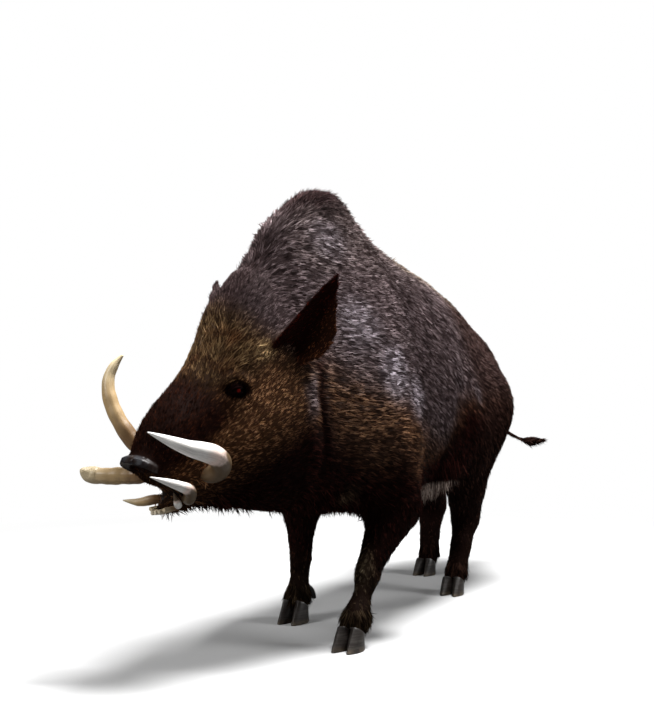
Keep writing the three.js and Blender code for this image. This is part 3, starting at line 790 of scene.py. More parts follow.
hideColours = {
    "low": (0.0125, 0.0032, 0.0024),  # belly, thighs and throat, almost black: partly the coat's own colour, partly painted shade under the body
    "flank": (0.066, 0.0320, 0.0170),  # warm brown on the side of the neck and the barrel
    "shoulder": (0.080, 0.0570, 0.0590),  # greyer over shoulder, barrel and back: partly the coat's greyer hair, partly painted sheen
    "humpSheen": (0.095, 0.0700, 0.0680),  # painted sheen: paler again on the left, lit side of the hump
    "hump": (0.017, 0.0090, 0.0090),
    "loin": (0.085, 0.0640, 0.0460),  # paler along the loin: partly pale bristles, partly painted light on the top of the back
    "rump": (0.020, 0.0095, 0.0072),
    "cheek": (0.200, 0.0970, 0.0480),
    "face": (0.058, 0.0250, 0.0110),
    "muzzle": (0.0090, 0.0016, 0.0010),
    "brow": (0.086, 0.0500, 0.0240),
    "tan": (0.260, 0.1650, 0.0820),  # the hair before the ear
    "pale": (0.200, 0.1500, 0.1300),  # the hair that hangs from the flank
    "ridge": (0.130, 0.1000, 0.1080),  # painted highlight: greyer along the rear edge of the cheek
    "sheen": (0.190, 0.1580, 0.1760),  # painted bluish sheen: highlights on the coat
    "wet": (0.150, 0.1150, 0.0700),  # painted sheen down the front of a foreleg
    "foot": (0.018, 0.0110, 0.0064),
    "earInside": (0.0230, 0.0024, 0.0010),
    "earHair": (0.062, 0.0210, 0.0090),
    "eyeRing": (0.0028, 0.0004, 0.0003),
}
# painted highlights (sheen) on the coat: middle, half sizes along X, Y and Z (metres) and strength
sheens = (
    ((0.37, 0.17, 0.73), (0.085, 0.14, 0.080), 0.60),
    ((0.28, 0.23, 0.62), (0.075, 0.14, 0.075), 0.85),
    ((0.17, 0.24, 0.56), (0.075, 0.14, 0.070), 0.70),
    ((-0.37, 0.21, 0.555), (0.042, 0.12, 0.032), 0.55),
    ((0.40, 0.11, 0.92), (0.080, 0.08, 0.060), 0.45),
)


def alongAxis(look, where, direction, origin):
    # distance from the origin along a direction
    dot = look.add("VectorMath", {"operation": "DOT_PRODUCT"}, {0: where, 1: tuple(direction)}, "Value")
    return dot - float(np.dot(origin, direction))


def distance(look, where, spot, scale=(1, 1, 1)):
    away = look.add("VectorMath", {"operation": "SUBTRACT"}, {0: where, 1: tuple(spot)})
    if scale != (1, 1, 1):
        away = look.add("VectorMath", {"operation": "MULTIPLY"}, {0: away, 1: scale})
    return look.add("VectorMath", {"operation": "LENGTH"}, {0: away}, "Value")


lidShade = {
    "long": 38.0,  # one over the half length of the dark lids, and over their half height
    "tall": 62.0,
    "edge": (2.1, 0.5),  # where the shade begins and is full
    "near": (0.050, 0.040),  # it ends this far from the eye
}


def eyeShade(look, where, side):
    # 1 on the dark lids, which slant up to the rear
    u, v = eyeFrame(side)[2:]
    long = alongAxis(look, where, u @ headTurn, eyeSpots[side]) * lidShade["long"]
    tall = alongAxis(look, where, v @ headTurn, eyeSpots[side]) * lidShade["tall"]
    near = distance(look, where, eyeSpots[side]).ramp(*lidShade["near"])
    return (long * long + tall * tall).ramp(*lidShade["edge"]) * near


def hidePaint(look):
    where = look.place()
    broad, patchy = look.noise(where, 5.0, 3.0), look.noise(where, 22.0, 3.0)
    wander = (broad - 0.5) * 0.10 + (patchy - 0.5) * 0.05
    x, y, z = (look.axis(where, letter) for letter in "XYZ")
    level = z + wander
    rear = x.ramp(0.05, -0.28)
    floorOf = rear * 0.13 + x.ramp(0.30, 0.52) * 0.07
    # near black below: partly the dark coat, partly painted shade under the body
    colour = look.mix((level - floorOf).ramp(0.34, 0.48), hideColours["low"], hideColours["flank"])
    # greyer on the upper body: partly the coat's own grey, partly painted sheen
    greyAndSheen = (level - x * 0.45).ramp(0.36, 0.48) * (level - floorOf).ramp(0.38, 0.46)
    colour = look.mix(greyAndSheen, colour, hideColours["shoulder"])
    # painted sheen on the lit left side of the hump
    humpSheen = level.ramp(0.80, 0.92) * y.ramp(0.0, 0.09) * x.ramp(0.56, 0.44) * 0.8
    colour = look.mix(humpSheen, colour, hideColours["humpSheen"])
    # painted highlights over shoulder, haunch and hump
    for spot, sizes, strength in sheens:
        near = distance(look, where, spot, tuple(1 / size for size in sizes)) + wander * 2.0
        colour = look.mix(near.ramp(1.15, 0.25) * strength, colour, hideColours["sheen"])
    colour = look.mix((level + x * 0.10).ramp(0.99, 1.07), colour, hideColours["hump"])
    colour = look.mix(x.ramp(-0.25, -0.44) * 0.85, colour, hideColours["rump"])
    # painted shade: the far, right side of the body darkened toward near black
    colour = look.mix(y.ramp(0.07, -0.06) * 0.55, colour, hideColours["low"])
    # paler along the top of the back: partly pale bristles, partly painted light
    loin = y.ramp(0.125, 0.075) * y.ramp(-0.06, -0.01) * level.ramp(0.64, 0.72)
    loin = loin * x.ramp(0.06, -0.10) * x.ramp(-0.56, -0.44)
    colour = look.mix(loin * patchy.ramp(0.2, 0.6), colour, hideColours["loin"])
    colour = look.mix(x.ramp(0.46, 0.60) * level.ramp(0.66, 0.76) * 0.5, colour, hideColours["hump"])
    hanging = x.ramp(-0.235, -0.205) * x.ramp(-0.08, -0.11) * z.ramp(0.335, 0.322) * y.ramp(0.06, 0.09)
    colour = look.mix(hanging, colour, hideColours["pale"])
    ahead = alongAxis(look, where, headTurn[0], headOrigin) + wander * 0.3
    above = alongAxis(look, where, headTurn[2], headOrigin) + wander * 0.3
    # near black under the jaw: partly the dark coat, partly painted shade
    faceColour = look.mix(above.ramp(-0.16, -0.03), hideColours["low"], hideColours["cheek"])
    faceColour = look.mix((above + ahead * 0.35).ramp(-0.03, 0.05), faceColour, hideColours["face"])
    brow = (above - ahead * 0.2).ramp(0.02, 0.09) * ahead.ramp(0.07, -0.01)
    faceColour = look.mix(brow * patchy.ramp(0.2, 0.6), faceColour, hideColours["brow"])
    muzzle = ahead.ramp(-0.01, 0.06) * above.ramp(-0.03, 0.01) * 0.9
    faceColour = look.mix(muzzle, faceColour, hideColours["muzzle"])
    colour = look.mix(ahead.ramp(-0.175, -0.085), colour, faceColour)
    at, height, lean = (v / 1000 if n < 2 else v for n, v in enumerate(face["crease"]))
    behind = ahead - at - (above - height) * lean
    # painted highlight along the rear edge of the cheek, in front of its fold
    edge = behind.ramp(0.002, 0.024) * behind.ramp(0.070, 0.030)
    edge = edge * above.ramp(-0.135, -0.09) * above.ramp(-0.03, -0.07)
    colour = look.mix(edge * 0.7, colour, hideColours["ridge"])
    # painted shade in the fold behind the cheek
    creaseShade = behind.ramp(-0.050, -0.006) * behind.ramp(0.012, -0.002)
    creaseShade = creaseShade * above.ramp(-0.29, -0.24) * above.ramp(0.0, -0.05)
    colour = look.mix(creaseShade * 0.85, colour, hideColours["low"])
    for side in ("left", "right"):
        sign = 1 if side == "left" else -1
        tuft = outOfHead([-118, 99 * sign, 57])
        colour = look.mix(distance(look, where, tuft).ramp(0.034, 0.012) * 0.9, colour, hideColours["tan"])
        colour = look.mix(eyeShade(look, where, side), colour, hideColours["eyeRing"])
    # painted sheen down the front of the left foreleg
    front = distance(look, where, (0.375, 0.16, 0.19), (15, 20, 6)) + wander * 2.0
    colour = look.mix(front.ramp(1.2, 0.3) * 0.7, colour, hideColours["wet"])
    foot = (z + wander * 0.3).ramp(0.20, 0.10) * x.ramp(-0.3, 0.0, 0.2, 1.0)
    colour = look.mix(foot, colour, hideColours["foot"])
    colour = look.mix(look.attribute("inner"), colour, hideColours["earInside"])
    colour = look.mix(look.attribute("warm"), colour, hideColours["earHair"])
    # the dark parts have no shine of their own
    lowest = (level - floorOf).ramp(0.46, 0.34) * (1 - front.ramp(1.2, 0.3))
    matt = lowest.atLeast(x.ramp(-0.28, -0.46) * 0.8)
    matt = matt.atLeast((level + x * 0.10).ramp(0.97, 1.06) * 0.7)
    matt = matt.atLeast(ahead.ramp(-0.04, 0.04) * 0.95)
    for side in ("left", "right"):
        matt = matt.atLeast(distance(look, where, eyeSpots[side]).ramp(0.060, 0.036))
    return colour, where, matt


def hideSkinLook():
    look = Look("hide_skin", 0.6, {"Specular IOR Level": 0.02, "Coat Roughness": 0.42, "Coat IOR": 1.35})
    colour, where = hidePaint(look)[:2]
    bareness = look.attribute("bare")
    pores = look.noise(where, 900.0, 2.0)
    streaks = look.noise(where, 260.0, 4.0, 0.6)
    colour = look.mix(0.75, colour, (0.006, 0.0022, 0.0016))
    lean = math.radians(nose["pitch"])
    upward = np.array([math.sin(lean), 0, math.cos(lean)]) @ headTurn
    rim = alongAxis(look, where, upward, middle("snout_disc")).ramp(0.012, 0.036)
    rim = rim * distance(look, where, middle("snout_disc")).ramp(0.080, 0.066)
    # a dark disc with slate patches on its upper rim: partly the wet skin's own slate, partly painted glints
    dark, slateGlint = (0.009, 0.0036, 0.0024), (0.019, 0.019, 0.022)
    naked = look.mix(rim * look.noise(where, 60.0, 4.0).ramp(0.35, 0.62), dark, slateGlint)
    colour = look.mix(bareness, colour, naked)
    lids = eyeShade(look, where, "left") + eyeShade(look, where, "right")
    colour = look.mix(lids, colour, hideColours["eyeRing"])
    look.set("Base Color", colour)
    look.set("Roughness", 0.62 - bareness * (0.10 + rim * 0.26) + streaks * 0.08 + lids * 0.30)
    look.set("Coat Weight", bareness * (1 - lids) * 0.5)
    look.bump(streaks * 0.7 + pores * 0.3, 0.5, 0.0012)
    return look


skinPiece = meshFrom("skin", points, [quads, tris], {"bare": bare, "inner": inner, "warm": warm})
finished(skinPiece, hideSkinLook(), flesh)
print("skin made:", len(quads) * 2 + len(tris), "triangles")


# the coat: solid tufts rooted in the skin

coat = {
    "share": 1.0,  # of the tufts that are grown
    "pieceLimit": 190000,  # triangles in one piece
    "sink": 0.0012,  # how far a root lies inside the skin
    "patch": 0.003,  # size of a tuft on the map
    "clump": 0.0080,  # spacing of the wet-looking clumps
    "fineClump": 0.0050,  # and on the head and ears
    "gather": 0.72,  # how far tips are drawn together
    "most": 300000,  # tufts of the short coat in all
}
headParts = [flesh.index(n) for n in ("head", "lower_jaw", "snout_disc", "ear_left", "ear_right")]
fan = np.concatenate([quads[:, [0, 1, 2]], quads[:, [0, 2, 3]], tris])
fanNormals = np.cross(points[fan[:, 1]] - points[fan[:, 0]], points[fan[:, 2]] - points[fan[:, 0]])
fanArea = np.linalg.norm(fanNormals, axis=1) / 2
rank = shares.argmax(1)


def scatter(density, count=None):
    # evenly spread roots; density is per square metre at each point of the skin
    weight = fanArea * density[fan].mean(1)
    total = weight.sum()
    count = int((count or total) * coat["share"])
    picks = (np.arange(count) + rng.random(count)) / count * total
    corners = fan[np.minimum(np.searchsorted(np.cumsum(weight), picks), len(fan) - 1)]
    a, b = rng.random(count), rng.random(count)
    flip = a + b > 1
    a[flip], b[flip] = 1 - a[flip], 1 - b[flip]
    mixing = np.stack([1 - a - b, a, b], 1)

    def blend(values):
        return np.einsum("ij,ij...->i...", mixing, values[corners])

    return {
        "root": blend(points), "normal": unit(blend(normals)), "lie": unit(blend(lie)),
        "shares": blend(shares), "rank": rank[corners[:, 0]], "count": count,
        "inner": blend(inner), "warm": blend(warm),
    }


def waves(where, lengths, seed):
    # smooth wandering values between about -1 and 1
    draw = np.random.default_rng(seed)
    total = np.zeros(len(where))
    for length in lengths:
        for _ in range(3):
            direction = unit(draw.normal(size=3)) * 2 * np.pi / length
            total += np.sin(where @ direction + draw.random() * 6.3)
    return total / (len(lengths) * 2.2)


def turned(vectors, axes, angles):
    c, s = np.cos(angles)[:, None], np.sin(angles)[:, None]
    return vectors * c + np.cross(axes, vectors) * s


def clumps(roots, lies, spacing):
    # the sideways step from each tip to the middle of its clump, and a number the whole clump shares
    draw = np.random.default_rng(3)
    cells = np.unique(np.round(roots / spacing).astype(int), axis=0)
    centres = cells * spacing + (draw.random(cells.shape) - 0.5) * spacing * 0.9
    tree = kdtree.KDTree(len(centres))
    for i, c in enumerate(centres):
        tree.insert(c, i)
    tree.balance()
    nearest = np.array([tree.find(r)[1] for r in roots])
    away = centres[nearest] - roots
    away -= lies * np.einsum("ij,ij->i", away, lies)[:, None]
    return away, draw.random(len(centres))[nearest]


def tuftMesh(name, batch, rings, uv):
    roots, normal, along = batch["root"], batch["normal"], batch["lie"]
    length, width, rise = batch["length"][:, None], batch["width"][:, None], batch["rise"][:, None]
    side = np.cross(normal, along)
    shift = batch.get("shift", np.zeros_like(roots))
    droop = batch.get("droop", np.zeros(len(roots)))[:, None]
    rows, tone, spots = [], [], []
    shape = (1.0, 0.95)  # of the full width, ring by ring
    for ring in range(rings + 1):
        t = ring / rings
        middle = roots + along * length * t * np.cos(rise)
        middle = middle + normal * (length * np.sin(rise) * (t - droop * t * t) - coat["sink"] * (1 - t))
        middle = middle + shift * t ** 1.5
        if ring == rings:
            rows.append(middle)
            tone.append(np.full(len(roots), 1.0))
            spots.append(uv + [0, coat["patch"] * 0.5])
            continue
        half = width * shape[ring] / 2
        for across, above, offset in ((1, 0, 0.4), (-1, 0, -0.4), (0, 0.9, 0)):
            rows.append(middle + side * half * across + normal * half * above)
            tone.append(np.full(len(roots), t))
            spots.append(uv + np.array([offset, t - 0.5]) * coat["patch"])
    each = rings * 3 + 1
    faces = [(0, 1, 2)]
    for ring in range(rings - 1):
        for a, b in ((0, 2), (2, 1), (1, 0)):
            a, b = a + ring * 3, b + ring * 3
            faces += [(a, b, b + 3), (a, b + 3, a + 3)]
    last = rings * 3 - 3
    faces += [(last, last + 2, each - 1), (last + 2, last + 1, each - 1), (last + 1, last, each - 1)]
    order = np.stack(rows, 1).reshape(-1, 3)
    corners = (np.array(faces)[None] + np.arange(len(roots))[:, None, None] * each).reshape(-1, 3)
    marks = {"tip": np.stack(tone, 1).ravel()}
    for key in ("inner", "warm", "lock"):
        marks[key] = np.repeat(batch[key], each)
    thing = meshFrom(name, order, [corners], marks, np.stack(spots, 1).reshape(-1, 2), smooth=False)
    return thing, len(corners)


def fitted(spots):
    low, high = spots.min(0), spots.max(0)
    return 0.004 + (spots - low) / np.maximum(high - low, 1e-6) * 0.992


def unwrap(group, roots, normal):
    # an unwrap of the skin's own shape: each part is unrolled round its own length
    if group.startswith("head"):
        local = intoHead(roots)
        return fitted(np.stack([np.arctan2(local[:, 1], local[:, 2] + 20) * 90, local[:, 0]], 1))
    if group.startswith("leg") or group.startswith("tail"):
        z = roots[:, 2]
        bands = np.clip(((z - z.min()) / 0.02).astype(int), 0, 60)
        total = np.maximum(np.bincount(bands, minlength=61), 1)
        centre = np.stack([np.bincount(bands, weights=roots[:, k], minlength=61) / total for k in (0, 1)], 1)
        away = roots[:, :2] - centre[bands]
        return fitted(np.stack([np.arctan2(away[:, 1], away[:, 0]), z], 1))
    if group.startswith("ear"):
        spots = np.zeros((len(roots), 2))
        left = roots[:, 1] > middle("snout_disc")[1]
        for one, shift in ((left, 400.0), (~left, 0.0)):
            if one.any():
                local = intoHead(roots[one])
                inner = intoHead(roots[one] + normal[one])[:, 0] > local[:, 0]
                spots[one] = local[:, [0, 2]] + np.stack([inner * 400.0, np.full(one.sum(), shift)], 1)
        return fitted(spots)
    return fitted(np.stack([np.arctan2(roots[:, 1], roots[:, 2] - 0.6) * 0.25, roots[:, 0]], 1))


coatTones = (
    # what varies, where its tint begins and is full, how strong it is, and the tint
    ("lock", 0.50, 0.95, 0.90, (2.9, 3.1, 3.1)),  # some whole clumps are paler: partly a random tone, partly painted glints of wet clumps
    ("lock", 0.55, 0.05, 0.88, (0.16, 0.13, 0.12)),  # and some darker
    ("each", 0.55, 1.00, 0.80, (2.2, 2.3, 2.3)),  # then each hair differs a little
    ("each", 0.50, 0.00, 0.70, (0.26, 0.22, 0.20)),
    ("tip", 0.20, 1.00, 0.30, (1.5, 1.45, 1.4)),
)


def coatLook():
    look = Look("coat", 0.4, {"Specular Tint": (1.0, 0.90, 0.92, 1), "Specular IOR Level": 0.02})
    colour, _, matt = hidePaint(look)
    varied = {key: look.attribute(key) for key in ("tip", "lock")}
    varied["each"] = look.add("NewGeometry", {}, {}, "Random Per Island")
    for key, low, high, strength, tint in coatTones:
        colour = look.mix(varied[key].ramp(low, high) * strength, colour, tint, "MULTIPLY")
    look.set("Base Color", colour)
    look.set("Roughness", 0.38 - varied["lock"] * 0.12 + varied["each"] * 0.12 + matt * 0.45)
    return look


coatSurface = coatLook()


def dress(group, batch, rings):
    # one or more pieces for a batch, none over the limit; says how many triangles they have
    each, total = rings * 6 - 2, 0
    order = np.argsort(batch["root"][:, 0], kind="stable")
    parts = max(1, math.ceil(len(order) * each / coat["pieceLimit"]))
    for part, chosen in enumerate(np.array_split(order, parts)):
        piece = {k: v[chosen] for k, v in batch.items() if isinstance(v, np.ndarray)}
        name = "coat_" + group + (f"_{part + 1}" if parts > 1 else "")
        uv = unwrap(group, piece["root"], piece["normal"])
        thing, count = tuftMesh(name, piece, rings, uv)
        finished(thing, coatSurface)
        total += count
    return total


def shortCoat():
    keep = (1 - step(0.15, 0.5, lidBare)) * (1 - mouthInside) * (1 - step(0.45, 0.7, discShare))
    keep = keep * (eyeOpening > 1.25)
    density = shares @ plans[:, 5] * 1e4 * keep
    total = (fanArea * density[fan].mean(1)).sum()
    batch = scatter(density * min(1, coat["most"] / total))
    own = batch["shares"] @ plans
    roots, normal = batch["root"], batch["normal"]
    count = batch["count"]
    swirl = 0.22 * waves(roots, (0.09, 0.05, 0.028), 5) + rng.normal(0, 0.10, count)
    batch["lie"] = tangent(turned(batch["lie"], normal, swirl), normal)
    vary = 1 + 0.22 * waves(roots, (0.06, 0.02), 9)
    batch["length"] = own[:, 2] * rng.uniform(0.7, 1.25, count) * vary
    batch["width"] = own[:, 3] * rng.uniform(0.7, 1.3, count)
    batch["rise"] = own[:, 4] * rng.uniform(0.5, 1.5, count) + 0.06 * waves(roots, (0.03, 0.015), 13)
    limit = batch["length"] * 0.32
    fine = batch["shares"][:, headParts].sum(1) > 0.5
    shift, batch["lock"] = np.zeros((count, 3)), np.zeros(count)
    for chosen, spacing in ((fine, coat["fineClump"]), (~fine, coat["clump"])):
        shift[chosen], batch["lock"][chosen] = clumps(roots[chosen], batch["lie"][chosen], spacing)
    shift *= coat["gather"]
    size = np.linalg.norm(shift, axis=1)
    batch["shift"] = shift * np.minimum(1, limit / np.maximum(size, 1e-9))[:, None]
    names = np.array(flesh)[batch["rank"]]
    side = np.where(roots[:, 1] > 0, "left", "right")
    headSide = np.where(intoHead(roots)[:, 1] > 0, "left", "right")
    label = []
    for name, one, other in zip(names, side, headSide):
        if name in ("head", "lower_jaw", "snout_disc"):
            label.append("head_" + other)
        elif name.endswith(("_leg", "_shank")):
            label.append("leg_" + name.rsplit("_", 1)[0])
        elif name.startswith("ear"):
            label.append("ears")
        elif name.startswith("tail"):
            label.append("tail")
        else:
            label.append(name + "_" + one)
    label = np.array(label)
    total = 0
    for group in sorted(set(label)):
        chosen = label == group
        total += dress(group, {k: v[chosen] for k, v in batch.items() if isinstance(v, np.ndarray)}, 1)
        print("   ", group, int(chosen.sum()), "tufts")
    return total


bristles = {
    # count, length, width, rise (radians), droop, spread of the direction
    "crest": (2600, 0.022, 0.0024, 0.50, 0.15, 0.30),
    "ridge": (3200, 0.026, 0.0024, 0.24, 0.35, 0.20),
    "throat": (3000, 0.024, 0.0024, 0.85, 0.05, 0.45),
    "elbow": (700, 0.016, 0.0018, 0.30, 0.20, 0.25),
    "tuft": (700, 0.030, 0.0022, 0.16, 0.10, 0.20),
    "rim": (1500, 0.010, 0.0012, 0.40, 0.10, 0.30),
    "coronet": (5600, 0.030, 0.0018, 0.18, 0.35, 0.08),
    "flank": (600, 0.062, 0.0022, 0.80, 0.25, 0.10),
    "brow": (1500, 0.032, 0.0014, 0.10, 0.10, 0.35),
}
bristleSag = {"throat": 0.3, "flank": 4.0}  # how strongly these hang
bristlePieces = {"tuft": "tail_hair", "rim": "ear_hair"}  # pieces named otherwise


def bristlePlaces():
    x, y, z = points.T
    up = normals[:, 2]
    trunkShare = shareOf("neck", "forequarters", "hindquarters")
    legShare = shareOf("fore_left_leg", "fore_right_leg") + 0.8 * shareOf("forequarters") * step(0.36, 0.30, z)
    shankShare = shareOf(*(name for name in flesh if name.endswith("shank")))
    rim = step(0.0015, 0.004, np.linalg.norm(average(points) - points, axis=1) * 12)
    return {
        "crest": trunkShare * step(0.35, 0.75, up) * step(-0.12, 0.0, x) * step(0.60, 0.50, x) * (z > 0.8),
        "ridge": trunkShare * step(0.80, 0.95, up) * step(-0.9, -0.8, x) * step(0.0, -0.12, x) * (z > 0.7),
        "throat": np.clip(trunkShare + jawShare, 0, 1) * step(-0.45, -0.8, up) * step(0.10, 0.24, x),
        "elbow": legShare * step(-0.3, -0.7, normals[:, 0]) * (x > -0.2),
        "tuft": shareOf("tail_tuft"),
        "rim": shareOf("ear_left", "ear_right") * rim,
        "coronet": shankShare * step(0.096, 0.080, z) * step(0.044, 0.054, z),
        "flank": trunkShare * step(-0.2, -0.6, up) * band(x, -0.22, -0.11, 0.01) * band(y, 0.07, 0.25),
        "brow": shareOf("head") * band(local[:, 0], -110, -20, 15) * step(55, 75, local[:, 2]),
    }


def longHair():
    total = 0
    for name, density in bristlePlaces().items():
        count, length, width, rise, droop, spread = bristles[name]
        batch = scatter(density, count)
        n = batch["count"]
        if name in bristleSag:
            batch["lie"] = tangent(batch["lie"] + [0, 0, -bristleSag[name]], batch["normal"])
        turn = rng.normal(0, spread, n)
        batch["lie"] = tangent(turned(batch["lie"], batch["normal"], turn), batch["normal"])
        batch["length"] = length * rng.uniform(0.45, 1.2, n)
        batch["width"] = width * rng.uniform(0.6, 1.3, n)
        batch["rise"] = rise * rng.uniform(0.6, 1.3, n)
        batch["droop"] = droop * rng.uniform(0.5, 1.5, n)
        shift, batch["lock"] = clumps(batch["root"], batch["lie"], coat["clump"])
        batch["shift"] = shift * 0.5
        total += dress(bristlePieces.get(name, name), batch, 2)
    return total


print("coat grown:", shortCoat() + longHair(), "triangles")


# horn, ivory and eyes

def ivoryLook(name, base, shaft, end, roughness, steps=(0.20, 0.50, 0.55, 0.98)):
    look = Look(name, roughness, {"Coat Roughness": 0.2})
    where = look.place()
    along, around = look.attribute("along"), look.attribute("around")
    line = look.add("CombineXYZ", {}, {0: around * 9.0, 1: along * 1.6, 2: 0.0})
    grain = look.noise(line, 4.0, 5.0, 0.6)
    stain = look.noise(where, 38.0, 4.0, 0.55)
    cracks = look.noise(line, 11.0, 6.0, 0.7)
    place = along + (stain - 0.5) * 0.16
    colour = look.mix(place.ramp(*steps[:2]), base, shaft)
    colour = look.mix(place.ramp(*steps[2:]), colour, end)
    colour = look.mix(grain.ramp(0.42, 0.75) * 0.35, colour, base)
    colour = look.mix(cracks.ramp(0.60, 0.70) * 0.30, colour, (0.16, 0.09, 0.045))
    look.set("Base Color", colour)
    look.set("Roughness", roughness + grain * 0.15)
    look.bump(grain * 0.6 + cracks * 0.4, 0.35, 0.0008)
    return look


tuskPlan = {
    # slot, look, then ridges along the horn and lumps, as shares of its radius
    "tusk_left_upper": ("ivory", "white", 0.006, 0.010),
    "tusk_left_lower": ("ivory", "white", 0.006, 0.008),
    "tooth_left": ("ivory", "white", 0.010, 0.010),
    "tusk_right_upper": ("old_ivory", "old", 0.016, 0.035),
    "tusk_right_middle": ("old_ivory", "old", 0.018, 0.045),
    "tusk_right_lower": ("old_ivory", "old", 0.012, 0.020),
}
ivories = {
    "white": ivoryLook(
        "white_ivory", (0.105, 0.067, 0.034), (0.84, 0.66, 0.58), (1.00, 0.97, 0.93), 0.28,
        (0.39, 0.46, 0.46, 0.58),
    ),
    "old": ivoryLook("old_ivory", (0.17, 0.090, 0.034), (0.44, 0.30, 0.145), (0.66, 0.54, 0.34), 0.36),
}


def spline(values, knots, at):
    # a smooth curve through rows of values
    index = np.clip(np.searchsorted(knots, at) - 1, 0, len(knots) - 2)
    t = ((at - knots[index]) / (knots[index + 1] - knots[index]))[:, None]
    p1, p2 = values[index], values[index + 1]
    p0, p3 = values[np.maximum(index - 1, 0)], values[np.minimum(index + 2, len(values) - 1)]
    a, b, c = 2 * p1, p2 - p0, 2 * p0 - 5 * p1 + 4 * p2 - p3
    return 0.5 * (a + b * t + c * t ** 2 + (3 * p1 - p0 - 3 * p2 + p3) * t ** 3)


def makeHorn(name, rings=84, sides=36):
    slot, kind, ridges, lumps = tuskPlan[name]
    centres, radii = hornRings(name)
    arc = lengthsAlong(centres)
    at = np.linspace(0, 1, rings) ** 0.9
    line = spline(np.column_stack([centres, radii]), arc / arc[-1], at)
    centre, radius = line[:, :3], np.maximum(line[:, 3], 0.0004) * 1.02
    tangents = unit(np.gradient(centre, axis=0))
    side = unit(np.cross(tangents[0], [0.3, 0.2, 1.0]))
    sidesOf = []
    for tangentHere in tangents:
        side = unit(side - tangentHere * (side @ tangentHere))
        sidesOf.append(side)
    across = np.array(sidesOf)
    above = np.cross(tangents, across)
    angle = np.linspace(0, 2 * np.pi, sides, endpoint=False)
    seed = sum(map(ord, name))
    phase = np.random.default_rng(seed).random(6) * 6.3
    grid, turn = np.meshgrid(at, angle, indexing="ij")
    wobble = ridges * np.sin(7 * turn + phase[0] + 1.5 * np.sin(grid * 5))
    wobble = wobble + ridges * 0.6 * np.sin(13 * turn + phase[1])
    wobble += lumps * np.sin(grid * 19 + phase[2] + np.sin(turn + phase[3])) * np.sin(turn + phase[4])
    wobble += lumps * 0.5 * np.sin(grid * 43 + phase[5])
    reach = radius[:, None] * (1 + wobble * step(0.03, 0.15, grid))
    skinOfHorn = centre[:, None] + across[:, None] * (np.cos(turn) * reach)[..., None]
    skinOfHorn = skinOfHorn + above[:, None] * (np.sin(turn) * reach)[..., None]
    body = skinOfHorn.reshape(-1, 3)
    ends = np.array([centre[0], centre[-1] + tangents[-1] * radius[-1] * 0.8])
    index = np.arange(rings * sides).reshape(rings, sides)
    after = np.roll(index, -1, 1)
    faces = np.stack([index[:-1], after[:-1], after[1:], index[1:]], -1).reshape(-1, 4)
    caps = np.concatenate([
        np.stack([after[0], index[0], np.full(sides, len(body))], 1),
        np.stack([index[-1], after[-1], np.full(sides, len(body) + 1)], 1),
    ])
    everything = np.concatenate([body, ends])
    first, second, third = (everything[faces[:, k]] for k in range(3))
    if np.einsum("ij,ij->", first, np.cross(second, third)) < 0:
        faces, caps = faces[:, ::-1], caps[:, ::-1]
    marks = {
        "along": np.concatenate([grid.ravel(), [0, 1]]),
        "around": np.concatenate([np.abs(turn.ravel() / np.pi - 1), [0, 0]]),
    }
    thing = meshFrom(name + "_shape", everything, [faces, caps], marks)
    finished(thing, ivories[kind], [name])


for name in tusks:
    makeHorn(name)
print("tusks made")

claws = {
    "round": 0.0022,  # rounding of the hoof's edges
    "ring": 0.00018,  # height of the growth rings
    "pitch": 0.0055,  # and their spacing
    "gap": 0.0008,  # between a claw and the middle of its foot, above
    "shelf": 0.006,  # height of the slices in which a claw is widened
}


def hornyLook(name, dark, light, toe):
    look = Look(name, 0.5, {"Specular IOR Level": 0.75})
    where = look.place()
    rings = look.noise(look.stretched(where, (20, 20, 420)), 1.0, 3.0)
    grain = look.noise(look.stretched(where, (420, 420, 30)), 1.0, 3.0)
    dirt = look.noise(where, 45.0, 4.0)
    z = look.axis(where, "Z")
    colour = look.mix(rings.ramp(0.35, 0.65), dark, light)
    colour = look.mix(z.ramp(0.016, 0.0) * dirt.ramp(0.35, 0.6) * 0.8, colour, toe)
    colour = look.mix(dirt.ramp(0.50, 0.65) * 0.6, colour, dark)
    colour = look.mix((z + (dirt - 0.5) * 0.02).ramp(0.030, 0.050) * 0.8, colour, dark)
    look.set("Base Color", colour)
    look.set("Roughness", 0.22 + grain * 0.30)
    look.bump(rings * 0.6 + grain * 0.4, 0.3, 0.0010)
    return look


hornSurfaces = {
    "hoof": hornyLook("hoof", (0.012, 0.0076, 0.0054), (0.052, 0.0450, 0.0400), (0.22, 0.17, 0.115)),
    "dewclaw": hornyLook("dewclaw", (0.007, 0.0045, 0.0035), (0.018, 0.0130, 0.0105), (0.020, 0.014, 0.010)),
}


def roundedCopy(name, newName, rounding, levels):
    # the node's own form with its edges rounded off
    copy = nodes[name].data.copy()
    thing = bpy.data.objects.new(newName, copy)
    bpy.context.scene.collection.objects.link(thing)
    weld = thing.modifiers.new("weld", "WELD")
    weld.merge_threshold = 0.00002
    flat = thing.modifiers.new("flat", "DECIMATE")
    flat.decimate_type = "DISSOLVE"
    flat.angle_limit = math.radians(2)
    bevel = thing.modifiers.new("bevel", "BEVEL")
    bevel.width = rounding
    bevel.segments = 2
    bevel.limit_method = "ANGLE"
    bevel.angle_limit = math.radians(40)
    fine = thing.modifiers.new("fine", "SUBSURF")
    fine.levels = fine.render_levels = levels
    evaluated = thing.evaluated_get(bpy.context.evaluated_depsgraph_get())
    mesh = bpy.data.meshes.new_from_object(evaluated)
    thing.modifiers.clear()
    thing.data = mesh
    mesh.polygons.foreach_set("use_smooth", np.full(len(mesh.polygons), True))
    return thing


